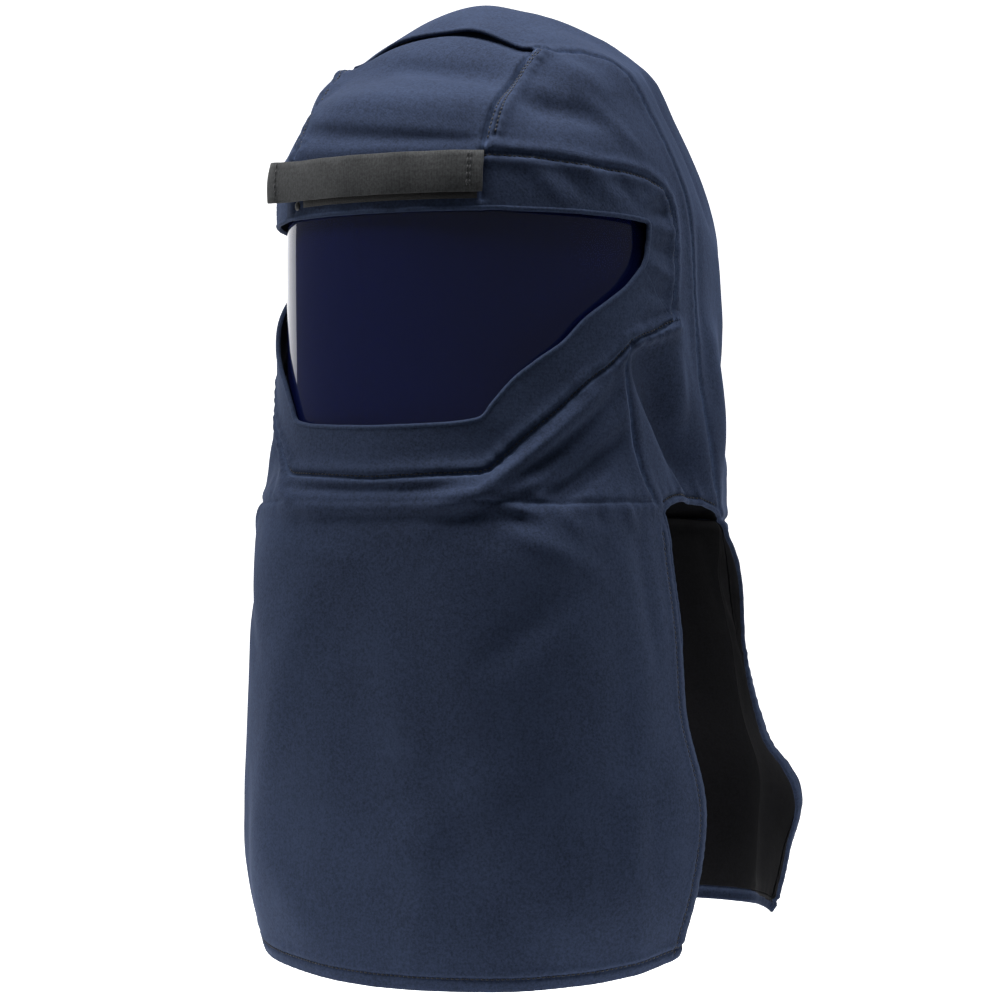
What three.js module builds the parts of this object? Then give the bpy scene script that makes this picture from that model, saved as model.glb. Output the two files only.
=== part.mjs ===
// Arc flash hood: a sewn cloth hood with a face window, a chest bib and a back flap.
// Millimetres, +Z up, +X the wearer's left, -Y ahead. The origin is the inside top of the crown.
import * as THREE from 'three';

// Driving sizes of the hood
const HOOD_LENGTH = 696;         // crown top down to the middle of the chest hem
const HALF_WIDTH = 150;          // crown axis to the side of the head part
const FRONT_DEPTH = 147;         // crown axis to the brow and the chest
const BACK_DEPTH = 226;          // crown axis to the back of the head part
const SHELL_WALL = 3;            // quilted cloth of the hood
const SEAM_GAP = 0.6;            // between two panels along their seam

// Crown
const CROWN_PANEL_HALF = 78;     // crown axis to each seam of the front panel
const VENT_AHEAD = 57;           // crown axis to the vent slit, at the seams
const VENT_BOW = 3;              // how much nearer the axis the slit runs at the middle
const VENT_LAP = 12;             // length of front panel that lies under the vent flap
const VENT_CLEARANCE = 0.9;      // flap to front panel, where the flap is flat
const VENT_GAPE = 4;             // most that the flap stands off beyond that
const VENT_DIP = 13;             // length over which the front panel dips under the flap
const VENT_FADE = 40;            // length over which the flap comes down to the crown
const CROWN_TURN = 66;           // degrees that a row of the back panel turns over the crown
// Places where the flap gapes, in shares of the half panel, with the share of VENT_GAPE there
const VENT_GAPES = [
  { across: 0.45, wide: 0.28, share: 1 },
  { across: -0.5, wide: 0.3, share: 0.6 },
];

// Window and its facing, as drops below the crown top
const WINDOW_TOP = 161;
const WINDOW_SIDE = 37;          // height of the upright side edges
const WINDOW_SILL = 309;
const FACING_WIDTH = 36;
const BAND_RISE = 1.05;          // its height at the crown seam, in shares of FACING_WIDTH
const BINDING_RADIUS = 2.1;
const BINDING_SINK = 1;          // binding's middle below the cloth's outer face
const BINDING_CLEARANCE = 0.5;

// Face shield
const SHIELD_WALL = 1.5;
const SHIELD_CLEARANCE = 1;
const SHIELD_LAP = 17;           // how far it runs up behind the brow
const SHIELD_MARGIN = 13;        // lower facing's outer edge to the shield's lower edge
const SHIELD_ANGLE = 92;

// Shoulders, bib and flap, as drops below the crown top
const YOKE_SEAM = 362;
const YOKE_ANGLE = 83;           // end of the yoke seam at each side
const SLIT_FRONT = 370;          // front corner of the shoulder slit
const SLIT_FRONT_ANGLE = 87;
const SLIT_RISE = 13;            // how far the slit's top arches up
const ARCH_ROWS = 7;             // rows of the side panel that arch with it
const ARCH_POWER = 0.6;          // less than 1 makes the arch rounder
const BACK_SEAM = 376;
const BACK_SEAM_ANGLE = 121;     // ends of the back seam, at the slit's rear corner
const HEM_RISE = 17;             // bib hem at its corners above its middle
const FLAP_LENGTH = 667;
const FLAP_HEM_RISE = 5;
const HEM_POWER = 4;             // how near its corners a hem turns up
const BOUND_LENGTH = 44;         // how far the slit's binding runs down each edge
const LINING_WALL = 1.2;
const LINING_CLEARANCE = 0.8;
const HEM_TURN = 9;              // cloth turned in round the lining's edge

// Brow strap, hook tape and stud
const STRAP_WIDTH = 29;
const STRAP_WALL = 1.8;
const STRAP_TOP = 121;           // drop of its upper edge
const STRAP_FREE_RUN = 13;       // length past the seam at the free end
const STRAP_LIFT = 9;            // how far the free end stands off
const STRAP_LIFTED = 0.3;        // share of the strap that is lifted
const TAPE_WIDTH = 27;
const TAPE_WALL = 1.2;
const TAPE_TOP = 126;
const TAPE_SEWN_SET_BACK = 3;    // tape ends short of the crown seams
const TAPE_FREE_SET_BACK = 13;
const TRIM_CLEARANCE = 0.5;
const STUD_RADIUS = 3.2;
const STUD_HEIGHT = 1.8;
const STUD_SET_BACK = 5;         // crown seam to the stud's middle
const STUD_DROP = 153;
const STUD_SIDES = 12;
// Half of the stud's outline, in shares of its radius and height
const STUD_PROFILE = [
  { radius: 0, height: 0 },
  { radius: 1, height: 0 },
  { radius: 1, height: 0.45 },
  { radius: 0.7, height: 0.85 },
  { radius: 0, height: 1 },
];

// Drops in the tables are shares. Those up to HEAD_SHARE run down the head part, which ends just below
// the lower facing, and the rest run down the bib to the hood's length.
const HEAD_SHARE = 0.5;
const HEAD_FOOT = 3;             // head part's end below the lower facing
const headLength = WINDOW_SILL + FACING_WIDTH + HEAD_FOOT;

// Cross-sections from the crown down. width is a share of HALF_WIDTH, front of FRONT_DEPTH and back of
// BACK_DEPTH. Squareness 2 is an ellipse, and more is nearer a rectangle.
const SECTIONS = [
  { drop: 0, width: 0, front: 0, back: 0, frontSquare: 2, backSquare: 2 },
  { drop: 0.017, width: 0.293, front: 0.231, back: 0.27, frontSquare: 2, backSquare: 2 },
  { drop: 0.034, width: 0.453, front: 0.354, back: 0.425, frontSquare: 2, backSquare: 2 },
  { drop: 0.053, width: 0.613, front: 0.49, back: 0.54, frontSquare: 2, backSquare: 2 },
  { drop: 0.079, width: 0.767, front: 0.645, back: 0.62, frontSquare: 2.05, backSquare: 2.05 },
  { drop: 0.122, width: 0.86, front: 0.89, back: 0.715, frontSquare: 2.1, backSquare: 2 },
  { drop: 0.158, width: 0.927, front: 0.985, back: 0.795, frontSquare: 2.1, backSquare: 2 },
  { drop: 0.194, width: 0.973, front: 1, back: 0.88, frontSquare: 2.1, backSquare: 2 },
  { drop: 0.233, width: 0.995, front: 1, back: 0.95, frontSquare: 2.1, backSquare: 2.05 },
  { drop: 0.309, width: 1, front: 1, back: 0.99, frontSquare: 2.1, backSquare: 2.1 },
  { drop: 0.435, width: 1, front: 1, back: 1, frontSquare: 2.1, backSquare: 2.15 },
  { drop: 0.487, width: 1.003, front: 1, back: 1, frontSquare: 2.15, backSquare: 2.2 },
  { drop: 0.524, width: 1.02, front: 1.007, back: 0.97, frontSquare: 2.55, backSquare: 2.2 },
  { drop: 0.622, width: 1.067, front: 1.014, back: 0.92, frontSquare: 2.7, backSquare: 2.8 },
  { drop: 0.723, width: 1.12, front: 1.014, back: 0.92, frontSquare: 2.5, backSquare: 3.3 },
  { drop: 0.83, width: 1.22, front: 1.014, back: 0.945, frontSquare: 2.15, backSquare: 3.8 },
  { drop: 0.902, width: 1.22, front: 1.014, back: 0.925, frontSquare: 2.1, backSquare: 3.8 },
  { drop: 1, width: 1.1, front: 0.993, back: 0.91, frontSquare: 2, backSquare: 3.8 },
];

// Rear seam of the side panel: plan places over the crown as shares of HALF_WIDTH and BACK_DEPTH, then
// angles and drops down the side
const REAR_SEAM_PLAN = [
  { across: 0.567, ahead: 0.239 },
  { across: 0.66, ahead: 0.115 },
  { across: 0.76, ahead: 0 },
  { across: 0.85, ahead: -0.069 },
  { across: 0.92, ahead: -0.12 },
];
const REAR_SEAM_DOWN = [
  { angle: 103, drop: 0.18 },
  { angle: 107, drop: 0.224 },
  { angle: 109, drop: 0.3 },
  { angle: 111, drop: 0.4 },
  { angle: 115, drop: 0.47 },
];

// Upper facing from the crown seam round the window's side: window edge as an angle and a fall in
// shares of WINDOW_SIDE, outer edge as an angle and a rise above the window in shares of FACING_WIDTH
const UPPER_FACING = [
  { windowAngle: 42, fall: 0.01, edgeAngle: 42, rise: 1.03 },
  { windowAngle: 52, fall: 0.02, edgeAngle: 53, rise: 0.97 },
  { windowAngle: 62, fall: 0.04, edgeAngle: 64, rise: 0.88 },
  { windowAngle: 71, fall: 0.06, edgeAngle: 75, rise: 0.83 },
  { windowAngle: 78, fall: 0.09, edgeAngle: 85, rise: 0.72 },
  { windowAngle: 82, fall: 0.14, edgeAngle: 92, rise: 0.5 },
  { windowAngle: 82.2, fall: 0.36, edgeAngle: 95.5, rise: 0.08 },
  { windowAngle: 81.2, fall: 0.58, edgeAngle: 96, rise: -0.6 },
  { windowAngle: 79.8, fall: 0.8, edgeAngle: 95.5, rise: -1.25 },
];

// Lower facing from the window's side to its middle: both edges as angles and as rises above the
// sill, in shares of the slanting cheek's height
const LOWER_FACING = [
  { windowAngle: 78, windowRise: 1, edgeAngle: 94, edgeRise: 0.99 },
  { windowAngle: 74.5, windowRise: 0.93, edgeAngle: 85, edgeRise: 0.92 },
  { windowAngle: 70.5, windowRise: 0.85, edgeAngle: 75.5, edgeRise: 0.847 },
  { windowAngle: 64.5, windowRise: 0.755, edgeAngle: 68, edgeRise: 0.7 },
  { windowAngle: 58.5, windowRise: 0.65, edgeAngle: 60, edgeRise: 0.577 },
  { windowAngle: 52.5, windowRise: 0.5, edgeAngle: 52.5, edgeRise: 0.42 },
  { windowAngle: 46, windowRise: 0.385, edgeAngle: 46.5, edgeRise: 0.306 },
  { windowAngle: 40, windowRise: 0.275, edgeAngle: 41, edgeRise: 0.198 },
  { windowAngle: 34.5, windowRise: 0.13, edgeAngle: 36, edgeRise: 0.09 },
  { windowAngle: 30.5, windowRise: 0.03, edgeAngle: 31, edgeRise: 0.02 },
  { windowAngle: 21.5, windowRise: 0, edgeAngle: 21.5, edgeRise: 0.01 },
  { windowAngle: 11, windowRise: -0.01, edgeAngle: 11, edgeRise: 0 },
  { windowAngle: 0, windowRise: -0.015, edgeAngle: 0, edgeRise: -0.01 },
];
const SEAM_CORNER = 2;           // row of LOWER_FACING where the side seam starts

// Side seam from the lower facing down to the yoke seam
const SIDE_SEAM = [
  { angle: 74, drop: 0.398 },
  { angle: 75.2, drop: 0.434 },
  { angle: 77, drop: 0.469 },
  { angle: 80, drop: 0.5 },
];

// Free side edges of the bib and of the flap below the shoulder slit
const BIB_EDGE = [
  { angle: YOKE_ANGLE, drop: shareAt(YOKE_SEAM) },
  { angle: SLIT_FRONT_ANGLE, drop: shareAt(SLIT_FRONT) },
  { angle: 88.5, drop: 0.545 },
  { angle: 89.5, drop: 0.58 },
  { angle: 90.5, drop: 0.65 },
  { angle: 89, drop: 0.74 },
  { angle: 90, drop: 0.84 },
  { angle: 87, drop: 0.9 },
  { angle: 85.5, drop: 0.98 },
];
const FLAP_EDGE = [
  { angle: BACK_SEAM_ANGLE, drop: shareAt(BACK_SEAM) },
  { angle: 124, drop: 0.57 },
  { angle: 127, drop: 0.64 },
  { angle: 126, drop: 0.72 },
  { angle: 123.5, drop: 0.82 },
  { angle: 125, drop: 0.88 },
  { angle: 127, drop: 0.95 },
];

const FOLD_END = 0.18;           // share of a fold's length that its tapered ends leave off
const FOLD_FADE = 12;            // length over which folds fade out towards the window
const FOLD_FADE_ANGLE = 10;      // the same round the side
const BROW_MARGIN = 2;           // smooth cloth above the brow's facing
// Dents and ridges of the hanging cloth. Each runs from one angle and drop to another, is a bell
// of half-width wide across, and stands out by out (dents are negative). Both sides: 1 mirrors it.
// wide and out are shares of HALF_WIDTH.
const FOLDS = [
  { from: -34, drop: 0.073, to: 40, dropTo: 0.096, wide: 0.1, out: -0.035, both: 0 },
  { from: -30, drop: 0.112, to: 38, dropTo: 0.124, wide: 0.08, out: 0.02, both: 0 },
  { from: -34, drop: 0.141, to: 33, dropTo: 0.166, wide: 0.07, out: -0.03, both: 0 },
  { from: 44, drop: 0.118, to: 58, dropTo: 0.13, wide: 0.14, out: -0.04, both: 1 },
  { from: 56, drop: 0.075, to: 72, dropTo: 0.105, wide: 0.08, out: 0.03, both: 1 },
  { from: 68, drop: 0.19, to: 92, dropTo: 0.22, wide: 0.09, out: 0.02, both: 1 },
  { from: 78, drop: 0.36, to: 108, dropTo: 0.5, wide: 0.1, out: -0.06, both: 1 },
  { from: 100, drop: 0.34, to: 118, dropTo: 0.49, wide: 0.1, out: 0.025, both: 1 },
  { from: 120, drop: 0.36, to: 150, dropTo: 0.5, wide: 0.12, out: -0.035, both: 1 },
  { from: -42, drop: 0.5, to: -18, dropTo: 0.527, wide: 0.075, out: 0.025, both: 1 },
  { from: -18, drop: 0.527, to: 18, dropTo: 0.53, wide: 0.075, out: 0.025, both: 0 },
  { from: 24, drop: 0.52, to: 62, dropTo: 0.42, wide: 0.075, out: 0.03, both: 1 },
  { from: 36, drop: 0.55, to: 72, dropTo: 0.455, wide: 0.08, out: -0.022, both: 1 },
  { from: -30, drop: 0.6, to: -46, dropTo: 0.95, wide: 0.2, out: 0.02, both: 0 },
  { from: 28, drop: 0.58, to: 44, dropTo: 0.93, wide: 0.22, out: 0.02, both: 0 },
  { from: -4, drop: 0.64, to: 3, dropTo: 0.98, wide: 0.22, out: -0.018, both: 0 },
  { from: 64, drop: 0.6, to: 70, dropTo: 0.98, wide: 0.16, out: -0.02, both: 1 },
  { from: 180, drop: 0.24, to: 180, dropTo: 0.5, wide: 0.24, out: -0.03, both: 0 },
  { from: 146, drop: 0.5, to: 150, dropTo: 0.94, wide: 0.18, out: 0.045, both: 1 },
  { from: 162, drop: 0.5, to: 166, dropTo: 0.94, wide: 0.13, out: -0.04, both: 1 },
  { from: 132, drop: 0.6, to: 128, dropTo: 0.68, wide: 0.1, out: -0.045, both: 1 },
  { from: 132, drop: 0.79, to: 120, dropTo: 0.84, wide: 0.2, out: 0.09, both: 1 },
];

// Lattice of the panels
const CROWN_COLUMNS = 12;
const SIDE_COLUMNS = 7;
const BACK_COLUMNS = 16;
const CROWN_ROWS = 6;
const BAND_ROWS = 2;
const BIB_ROWS = 15;
const FLAP_ROWS = 13;
const SHIELD_COLUMNS = 28;
const SHIELD_ROWS = 2;
const TRIM_COLUMNS = 14;
const BINDING_SIDES = 6;
const BOUND_STEPS = 3;
// Shares of the rear seam's length that face the crown seam, the brow, the temple and the cheek
const REAR_SHARES = { crown: 0.12, brow: 0.36, temple: 0.55, cheek: 0.97 };

const radians = THREE.MathUtils.degToRad;
const lerp = THREE.MathUtils.lerp;

// Drop in millimetres at one of the tables' shares
function dropAt(share) {
  if (share <= HEAD_SHARE) {
    return (share / HEAD_SHARE) * headLength;
  }
  return lerp(headLength, HOOD_LENGTH, (share - HEAD_SHARE) / (1 - HEAD_SHARE));
}

// Share of the tables at a drop
function shareAt(drop) {
  if (drop <= headLength) {
    return (drop / headLength) * HEAD_SHARE;
  }
  const below = (drop - headLength) / (HOOD_LENGTH - headLength);
  return HEAD_SHARE + below * (1 - HEAD_SHARE);
}

// Sections in millimetres, each with its distance down the side of the hood
function buildSections() {
  const sections = SECTIONS.map((row) => ({
    drop: dropAt(row.drop),
    width: row.width * HALF_WIDTH,
    front: row.front * FRONT_DEPTH,
    back: row.back * BACK_DEPTH,
    frontSquare: row.frontSquare,
    backSquare: row.backSquare,
    station: 0,
  }));
  for (let i = 1; i < sections.length; i += 1) {
    const above = sections[i - 1];
    const here = sections[i];
    here.station = above.station + Math.hypot(here.drop - above.drop, here.width - above.width);
  }
  const columns = ['drop', 'width', 'front', 'back', 'frontSquare', 'backSquare'];
  sections.forEach((section, i) => {
    section.slopes = {};
    columns.forEach((column) => {
      section.slopes[column] = columnSlope(sections, column, i);
    });
  });
  return sections;
}

// Slope of one column at a section. At the crown's top the widths go on through the axis.
function columnSlope(sections, column, i) {
  const lastSection = sections.length - 1;
  const here = sections[i];
  if (i === 0) {
    const throughAxis = column === 'width' || column === 'front' || column === 'back';
    return throughAxis ? sections[1][column] / sections[1].station : 0;
  }
  const above = sections[i - 1];
  const riseAbove = (here[column] - above[column]) / (here.station - above.station);
  if (i === lastSection) {
    return riseAbove;
  }
  const below = sections[i + 1];
  const stepAbove = here.station - above.station;
  const stepBelow = below.station - here.station;
  const riseBelow = (below[column] - here[column]) / stepBelow;
  return (riseAbove * stepBelow + riseBelow * stepAbove) / (stepAbove + stepBelow);
}

const sections = buildSections();
const lastSection = sections.length - 1;
const hemStation = sections[lastSection].station;

// Value of one column at a distance down the side, on a smooth curve through the sections
function columnAt(column, station) {
  let i = 1;
  while (i < lastSection && station > sections[i].station) {
    i += 1;
  }
  const above = sections[i - 1];
  const here = sections[i];
  const step = here.station - above.station;
  const u = (station - above.station) / step;
  const uu = u * u;
  const uuu = uu * u;
  return above[column] * (2 * uuu - 3 * uu + 1)
    + above.slopes[column] * step * (uuu - 2 * uu + u)
    + here[column] * (3 * uu - 2 * uuu)
    + here.slopes[column] * step * (uuu - uu);
}

// Value up to which a test holds, between zero and a limit
function lastWhere(limit, holds) {
  const halvings = 40;
  let low = 0;
  let high = limit;
  for (let k = 0; k < halvings; k += 1) {
    const middle = (low + high) / 2;
    if (holds(middle)) {
      low = middle;
    } else {
      high = middle;
    }
  }
  return (low + high) / 2;
}

const stationAtDrop = (drop) => lastWhere(hemStation, (station) => columnAt('drop', station) < drop);

// Distance from the crown axis to the cloth, at an angle round from the front
function radiusAt(angle, station) {
  const ahead = Math.cos(angle) >= 0;
  const depth = columnAt(ahead ? 'front' : 'back', station);
  const square = columnAt(ahead ? 'frontSquare' : 'backSquare', station);
  const across = Math.abs(Math.sin(angle)) / columnAt('width', station);
  const along = Math.abs(Math.cos(angle)) / depth;
  return (across ** square + along ** square) ** (-1 / square);
}

// The pattern plane is the cloth laid out round the crown's top: angle and distance down the side
// are its polar coordinates.
function patternPoint(degrees, drop) {
  const station = stationAtDrop(drop);
  return new THREE.Vector2(station * Math.sin(radians(degrees)), station * Math.cos(radians(degrees)));
}

function patternFromPlan(across, ahead) {
  const angle = Math.atan2(across, ahead);
  const reach = Math.hypot(across, ahead);
  const station = lastWhere(stationAtDrop(WINDOW_TOP), (value) => radiusAt(angle, value) < reach);
  return new THREE.Vector2(station * Math.sin(angle), station * Math.cos(angle));
}

const patternAngle = (p) => Math.atan2(p.x, p.y);
const patternStation = (p) => p.length();

function mixPolar(a, b, u) {
  const angle = lerp(patternAngle(a), patternAngle(b), u);
  const station = lerp(patternStation(a), patternStation(b), u);
  return new THREE.Vector2(station * Math.sin(angle), station * Math.cos(angle));
}

const mirrored = (p) => new THREE.Vector2(-p.x, p.y);

function smoothPoint(p) {
  const station = Math.max(patternStation(p), 1e-4);
  const angle = patternAngle(p);
  const radius = radiusAt(angle, station);
  const drop = columnAt('drop', station);
  return new THREE.Vector3(radius * Math.sin(angle), -radius * Math.cos(angle), SHELL_WALL - drop);
}

// Folds in millimetres and radians, those on both sides twice
function buildFolds() {
  const folds = [];
  FOLDS.forEach((row) => {
    const sides = row.both === 1 ? [1, -1] : [1];
    sides.forEach((side) => folds.push({
      from: side * radians(row.from),
      to: side * radians(row.to),
      start: stationAtDrop(dropAt(row.drop)),
      end: stationAtDrop(dropAt(row.dropTo)),
      wide: row.wide * HALF_WIDTH,
      out: row.out * HALF_WIDTH,
    }));
  });
  return folds;
}

const folds = buildFolds();

// How far one fold moves the cloth at a place given by its angle and distance down the side
function foldAt(fold, angle, station, girth) {
  const away = angle - fold.from;
  const placeX = Math.atan2(Math.sin(away), Math.cos(away)) * girth;
  const placeY = station - fold.start;
  const runX = (fold.to - fold.from) * girth;
  const runY = fold.end - fold.start;
  const run = Math.hypot(runX, runY);
  const along = (placeX * runX + placeY * runY) / (run * run);
  const across = (placeX * runY - placeY * runX) / run;
  const nearest = THREE.MathUtils.clamp(along, 0, 1);
  const past = (along - nearest) * run;
  const taper = Math.sin(Math.PI * lerp(FOLD_END, 1 - FOLD_END, nearest));
  return fold.out * taper * Math.exp(-(across * across + past * past) / (fold.wide * fold.wide));
}

// One column of a table of rows at a place between them
function tableValue(rows, key, column, value) {
  const rising = rows[rows.length - 1][key] > rows[0][key];
  const ordered = rising ? rows : [...rows].reverse();
  const i = THREE.MathUtils.clamp(ordered.findIndex((row) => row[key] >= value), 1, ordered.length - 1);
  const past = value > ordered[ordered.length - 1][key];
  const low = ordered[past ? ordered.length - 2 : i - 1];
  const high = ordered[past ? ordered.length - 1 : i];
  const u = THREE.MathUtils.clamp((value - low[key]) / (high[key] - low[key]), 0, 1);
  return lerp(low[column], high[column], u);
}

const cheekHeight = WINDOW_SILL - WINDOW_TOP - WINDOW_SIDE;
const facingSill = WINDOW_SILL + FACING_WIDTH;

function lowerFacingDrop(degrees) {
  return facingSill - tableValue(LOWER_FACING, 'edgeAngle', 'edgeRise', degrees) * cheekHeight;
}

// The facing and the shield behind it stay smooth, so folds fade out towards the window
function smoothnessAt(angle, station) {
  const drop = columnAt('drop', station);
  const degrees = Math.abs(THREE.MathUtils.radToDeg(angle));
  const past = (value, edge, fade) => THREE.MathUtils.smoothstep(value, edge, edge + fade);
  return Math.max(
    past(degrees, SHIELD_ANGLE, FOLD_FADE_ANGLE),
    past(WINDOW_TOP - drop, FACING_WIDTH + BROW_MARGIN, FOLD_FADE),
    past(drop - lowerFacingDrop(degrees), 0, FOLD_FADE),
  );
}

function foldedPoint(p) {
  const station = patternStation(p);
  const angle = patternAngle(p);
  const girth = columnAt('width', Math.max(station, 1e-4));
  const out = folds.reduce((sum, fold) => sum + foldAt(fold, angle, station, girth), 0);
  const normal = surfaceNormal(p, smoothPoint);
  return smoothPoint(p).addScaledVector(normal, out * smoothnessAt(angle, station));
}

function surfaceNormal(p, surface) {
  const reach = 1.5;
  const left = surface(new THREE.Vector2(p.x - reach, p.y));
  const right = surface(new THREE.Vector2(p.x + reach, p.y));
  const near = surface(new THREE.Vector2(p.x, p.y - reach));
  const far = surface(new THREE.Vector2(p.x, p.y + reach));
  return right.sub(left).cross(near.sub(far)).normalize();
}

// A layer of cloth: pattern points raised off the folded surface by a constant or varying distance
function layer(grid, facings, lift) {
  return grid.map((row, r) => row.map((p, c) => {
    const raise = typeof lift === 'function' ? lift(p) : lift;
    return foldedPoint(p).addScaledVector(facings[r][c], raise);
  }));
}

// Places along one edge, moved square to the edge towards the line of places beside it. Where the
// edge turns a hollow corner, that line is no guide, and they move along the cloth instead.
function drawnIn(edge, facings, beside, distance) {
  const last = edge.length - 1;
  const ways = edge.map((p, k) => {
    const along = edge[Math.min(k + 1, last)].clone().sub(edge[Math.max(k - 1, 0)]).normalize();
    const towards = beside[k].clone().sub(p);
    towards.addScaledVector(along, -towards.dot(along));
    return { towards, inCloth: along.cross(facings[k]).normalize() };
  });
  const side = Math.sign(ways.reduce((sum, way) => sum + way.inCloth.dot(way.towards), 0));
  return edge.map((p, k) => {
    const reach = typeof distance === 'function' ? distance(k) : distance;
    const towards = ways[k].towards.normalize();
    const inCloth = ways[k].inCloth.multiplyScalar(side);
    return p.clone().addScaledVector(towards.dot(inCloth) > 0.5 ? towards : inCloth, reach);
  });
}

// Draws the four sides of a grid of places inwards, each by its own distance
function trimGrid(grid, facings, trim) {
  const rows = grid.length - 1;
  const columns = grid[0].length - 1;
  const result = grid.map((row) => [...row]);
  const column = (places, c) => places.map((row) => row[c]);
  const start = drawnIn(column(grid, 0), column(facings, 0), column(grid, 1), trim.start);
  const beforeEnd = column(grid, columns - 1);
  const end = drawnIn(column(grid, columns), column(facings, columns), beforeEnd, trim.end);
  result.forEach((row, r) => {
    row[0] = start[r];
    row[columns] = end[r];
  });
  result[0] = drawnIn(result[0], facings[0], grid[1], trim.top);
  result[rows] = drawnIn(result[rows], facings[rows], grid[rows - 1], trim.bottom);
  return result;
}

function signedVolume(positions, triangles) {
  const corner = (i) => new THREE.Vector3().fromArray(positions, 3 * triangles[i]);
  let volume = 0;
  for (let i = 0; i < triangles.length; i += 3) {
    volume += corner(i).dot(corner(i + 1).cross(corner(i + 2))) / 6;
  }
  return volume;
}

// Mesh of a closed solid, turned so that its faces point out
function meshGeometry(positions, triangles) {
  const facesOut = signedVolume(positions, triangles) > 0;
  const geometry = new THREE.BufferGeometry();
  geometry.setAttribute('position', new THREE.Float32BufferAttribute(positions, 3));
  geometry.setIndex(facesOut ? triangles : [...triangles].reverse());
  geometry.computeVertexNormals();
  return geometry;
}

// Closed sheet between an outer and an inner grid of places. Each cell is cut along the diagonal
// that is shorter on the cloth's outer face, also in a lining that lies under it.
function sheetGeometry(outer, inner, face) {
  const rows = outer.length - 1;
  const columns = outer[0].length - 1;
  const positions = [];
  [outer, inner].forEach((grid) => grid.flat().forEach((p) => positions.push(p.x, p.y, p.z)));
  const skin = (rows + 1) * (columns + 1);
  const index = (r, c) => r * (columns + 1) + c;
  const triangles = [];
  for (let r = 0; r < rows; r += 1) {
    for (let c = 0; c < columns; c += 1) {
      const [a, b] = [index(r, c), index(r + 1, c)];
      const [d, e] = [index(r, c + 1), index(r + 1, c + 1)];
      const falling = face[r][c].distanceTo(face[r + 1][c + 1]);
      const rising = face[r + 1][c].distanceTo(face[r][c + 1]);
      const cell = falling < rising ? [a, b, e, a, e, d] : [a, b, d, d, b, e];
      triangles.push(...cell);
      triangles.push(...cell.map((corner) => corner + skin).reverse());
    }
  }
  const wall = (a, b) => triangles.push(b, b + skin, a + skin, b, a + skin, a);
  for (let c = 0; c < columns; c += 1) {
    wall(index(0, c), index(0, c + 1));
    wall(index(rows, c + 1), index(rows, c));
  }
  for (let r = 0; r < rows; r += 1) {
    wall(index(r + 1, 0), index(r, 0));
    wall(index(r, columns), index(r + 1, columns));
  }
  return meshGeometry(positions, triangles);
}

// Round cord of binding along a path of places, each with the direction the cloth faces there
function cordGeometry(path, radius, closed) {
  const positions = [];
  const count = path.length;
  path.forEach((stop, i) => {
    const next = path[closed ? (i + 1) % count : Math.min(i + 1, count - 1)].place;
    const last = path[closed ? (i + count - 1) % count : Math.max(i - 1, 0)].place;
    const along = next.clone().sub(last).normalize();
    const side = along.clone().cross(stop.facing).normalize();
    const out = side.clone().cross(along);
    for (let k = 0; k < BINDING_SIDES; k += 1) {
      const turn = (2 * Math.PI * k) / BINDING_SIDES;
      const p = stop.place.clone().addScaledVector(out, radius * Math.cos(turn));
      p.addScaledVector(side, radius * Math.sin(turn));
      positions.push(p.x, p.y, p.z);
    }
  });
  const triangles = [];
  const rings = closed ? count : count - 1;
  for (let i = 0; i < rings; i += 1) {
    const here = i * BINDING_SIDES;
    const next = ((i + 1) % count) * BINDING_SIDES;
    for (let k = 0; k < BINDING_SIDES; k += 1) {
      const turned = (k + 1) % BINDING_SIDES;
      triangles.push(here + k, next + k, next + turned, here + k, next + turned, here + turned);
    }
  }
  if (!closed) {
    const end = (count - 1) * BINDING_SIDES;
    for (let k = 1; k < BINDING_SIDES - 1; k += 1) {
      triangles.push(0, k, k + 1);
      triangles.push(end, end + k + 1, end + k);
    }
  }
  return meshGeometry(positions, triangles);
}

const fromTable = (rows) => rows.map((row) => patternPoint(row.angle, dropAt(row.drop)));

// Pattern point at a drop and at a distance from the middle line
function pointAtAcross(across, drop) {
  const station = stationAtDrop(drop);
  const nearer = (angle) => radiusAt(angle, station) * Math.sin(angle) < Math.abs(across);
  const angle = Math.sign(across) * lastWhere(Math.PI / 2, nearer);
  return new THREE.Vector2(station * Math.sin(angle), station * Math.cos(angle));
}

// Points down a crown seam from one drop to another
function crownSeamPoints(fromDrop, toDrop, steps) {
  const points = [];
  for (let k = 0; k <= steps; k += 1) {
    points.push(pointAtAcross(CROWN_PANEL_HALF, lerp(fromDrop, toDrop, k / steps)));
  }
  return points;
}

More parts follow.
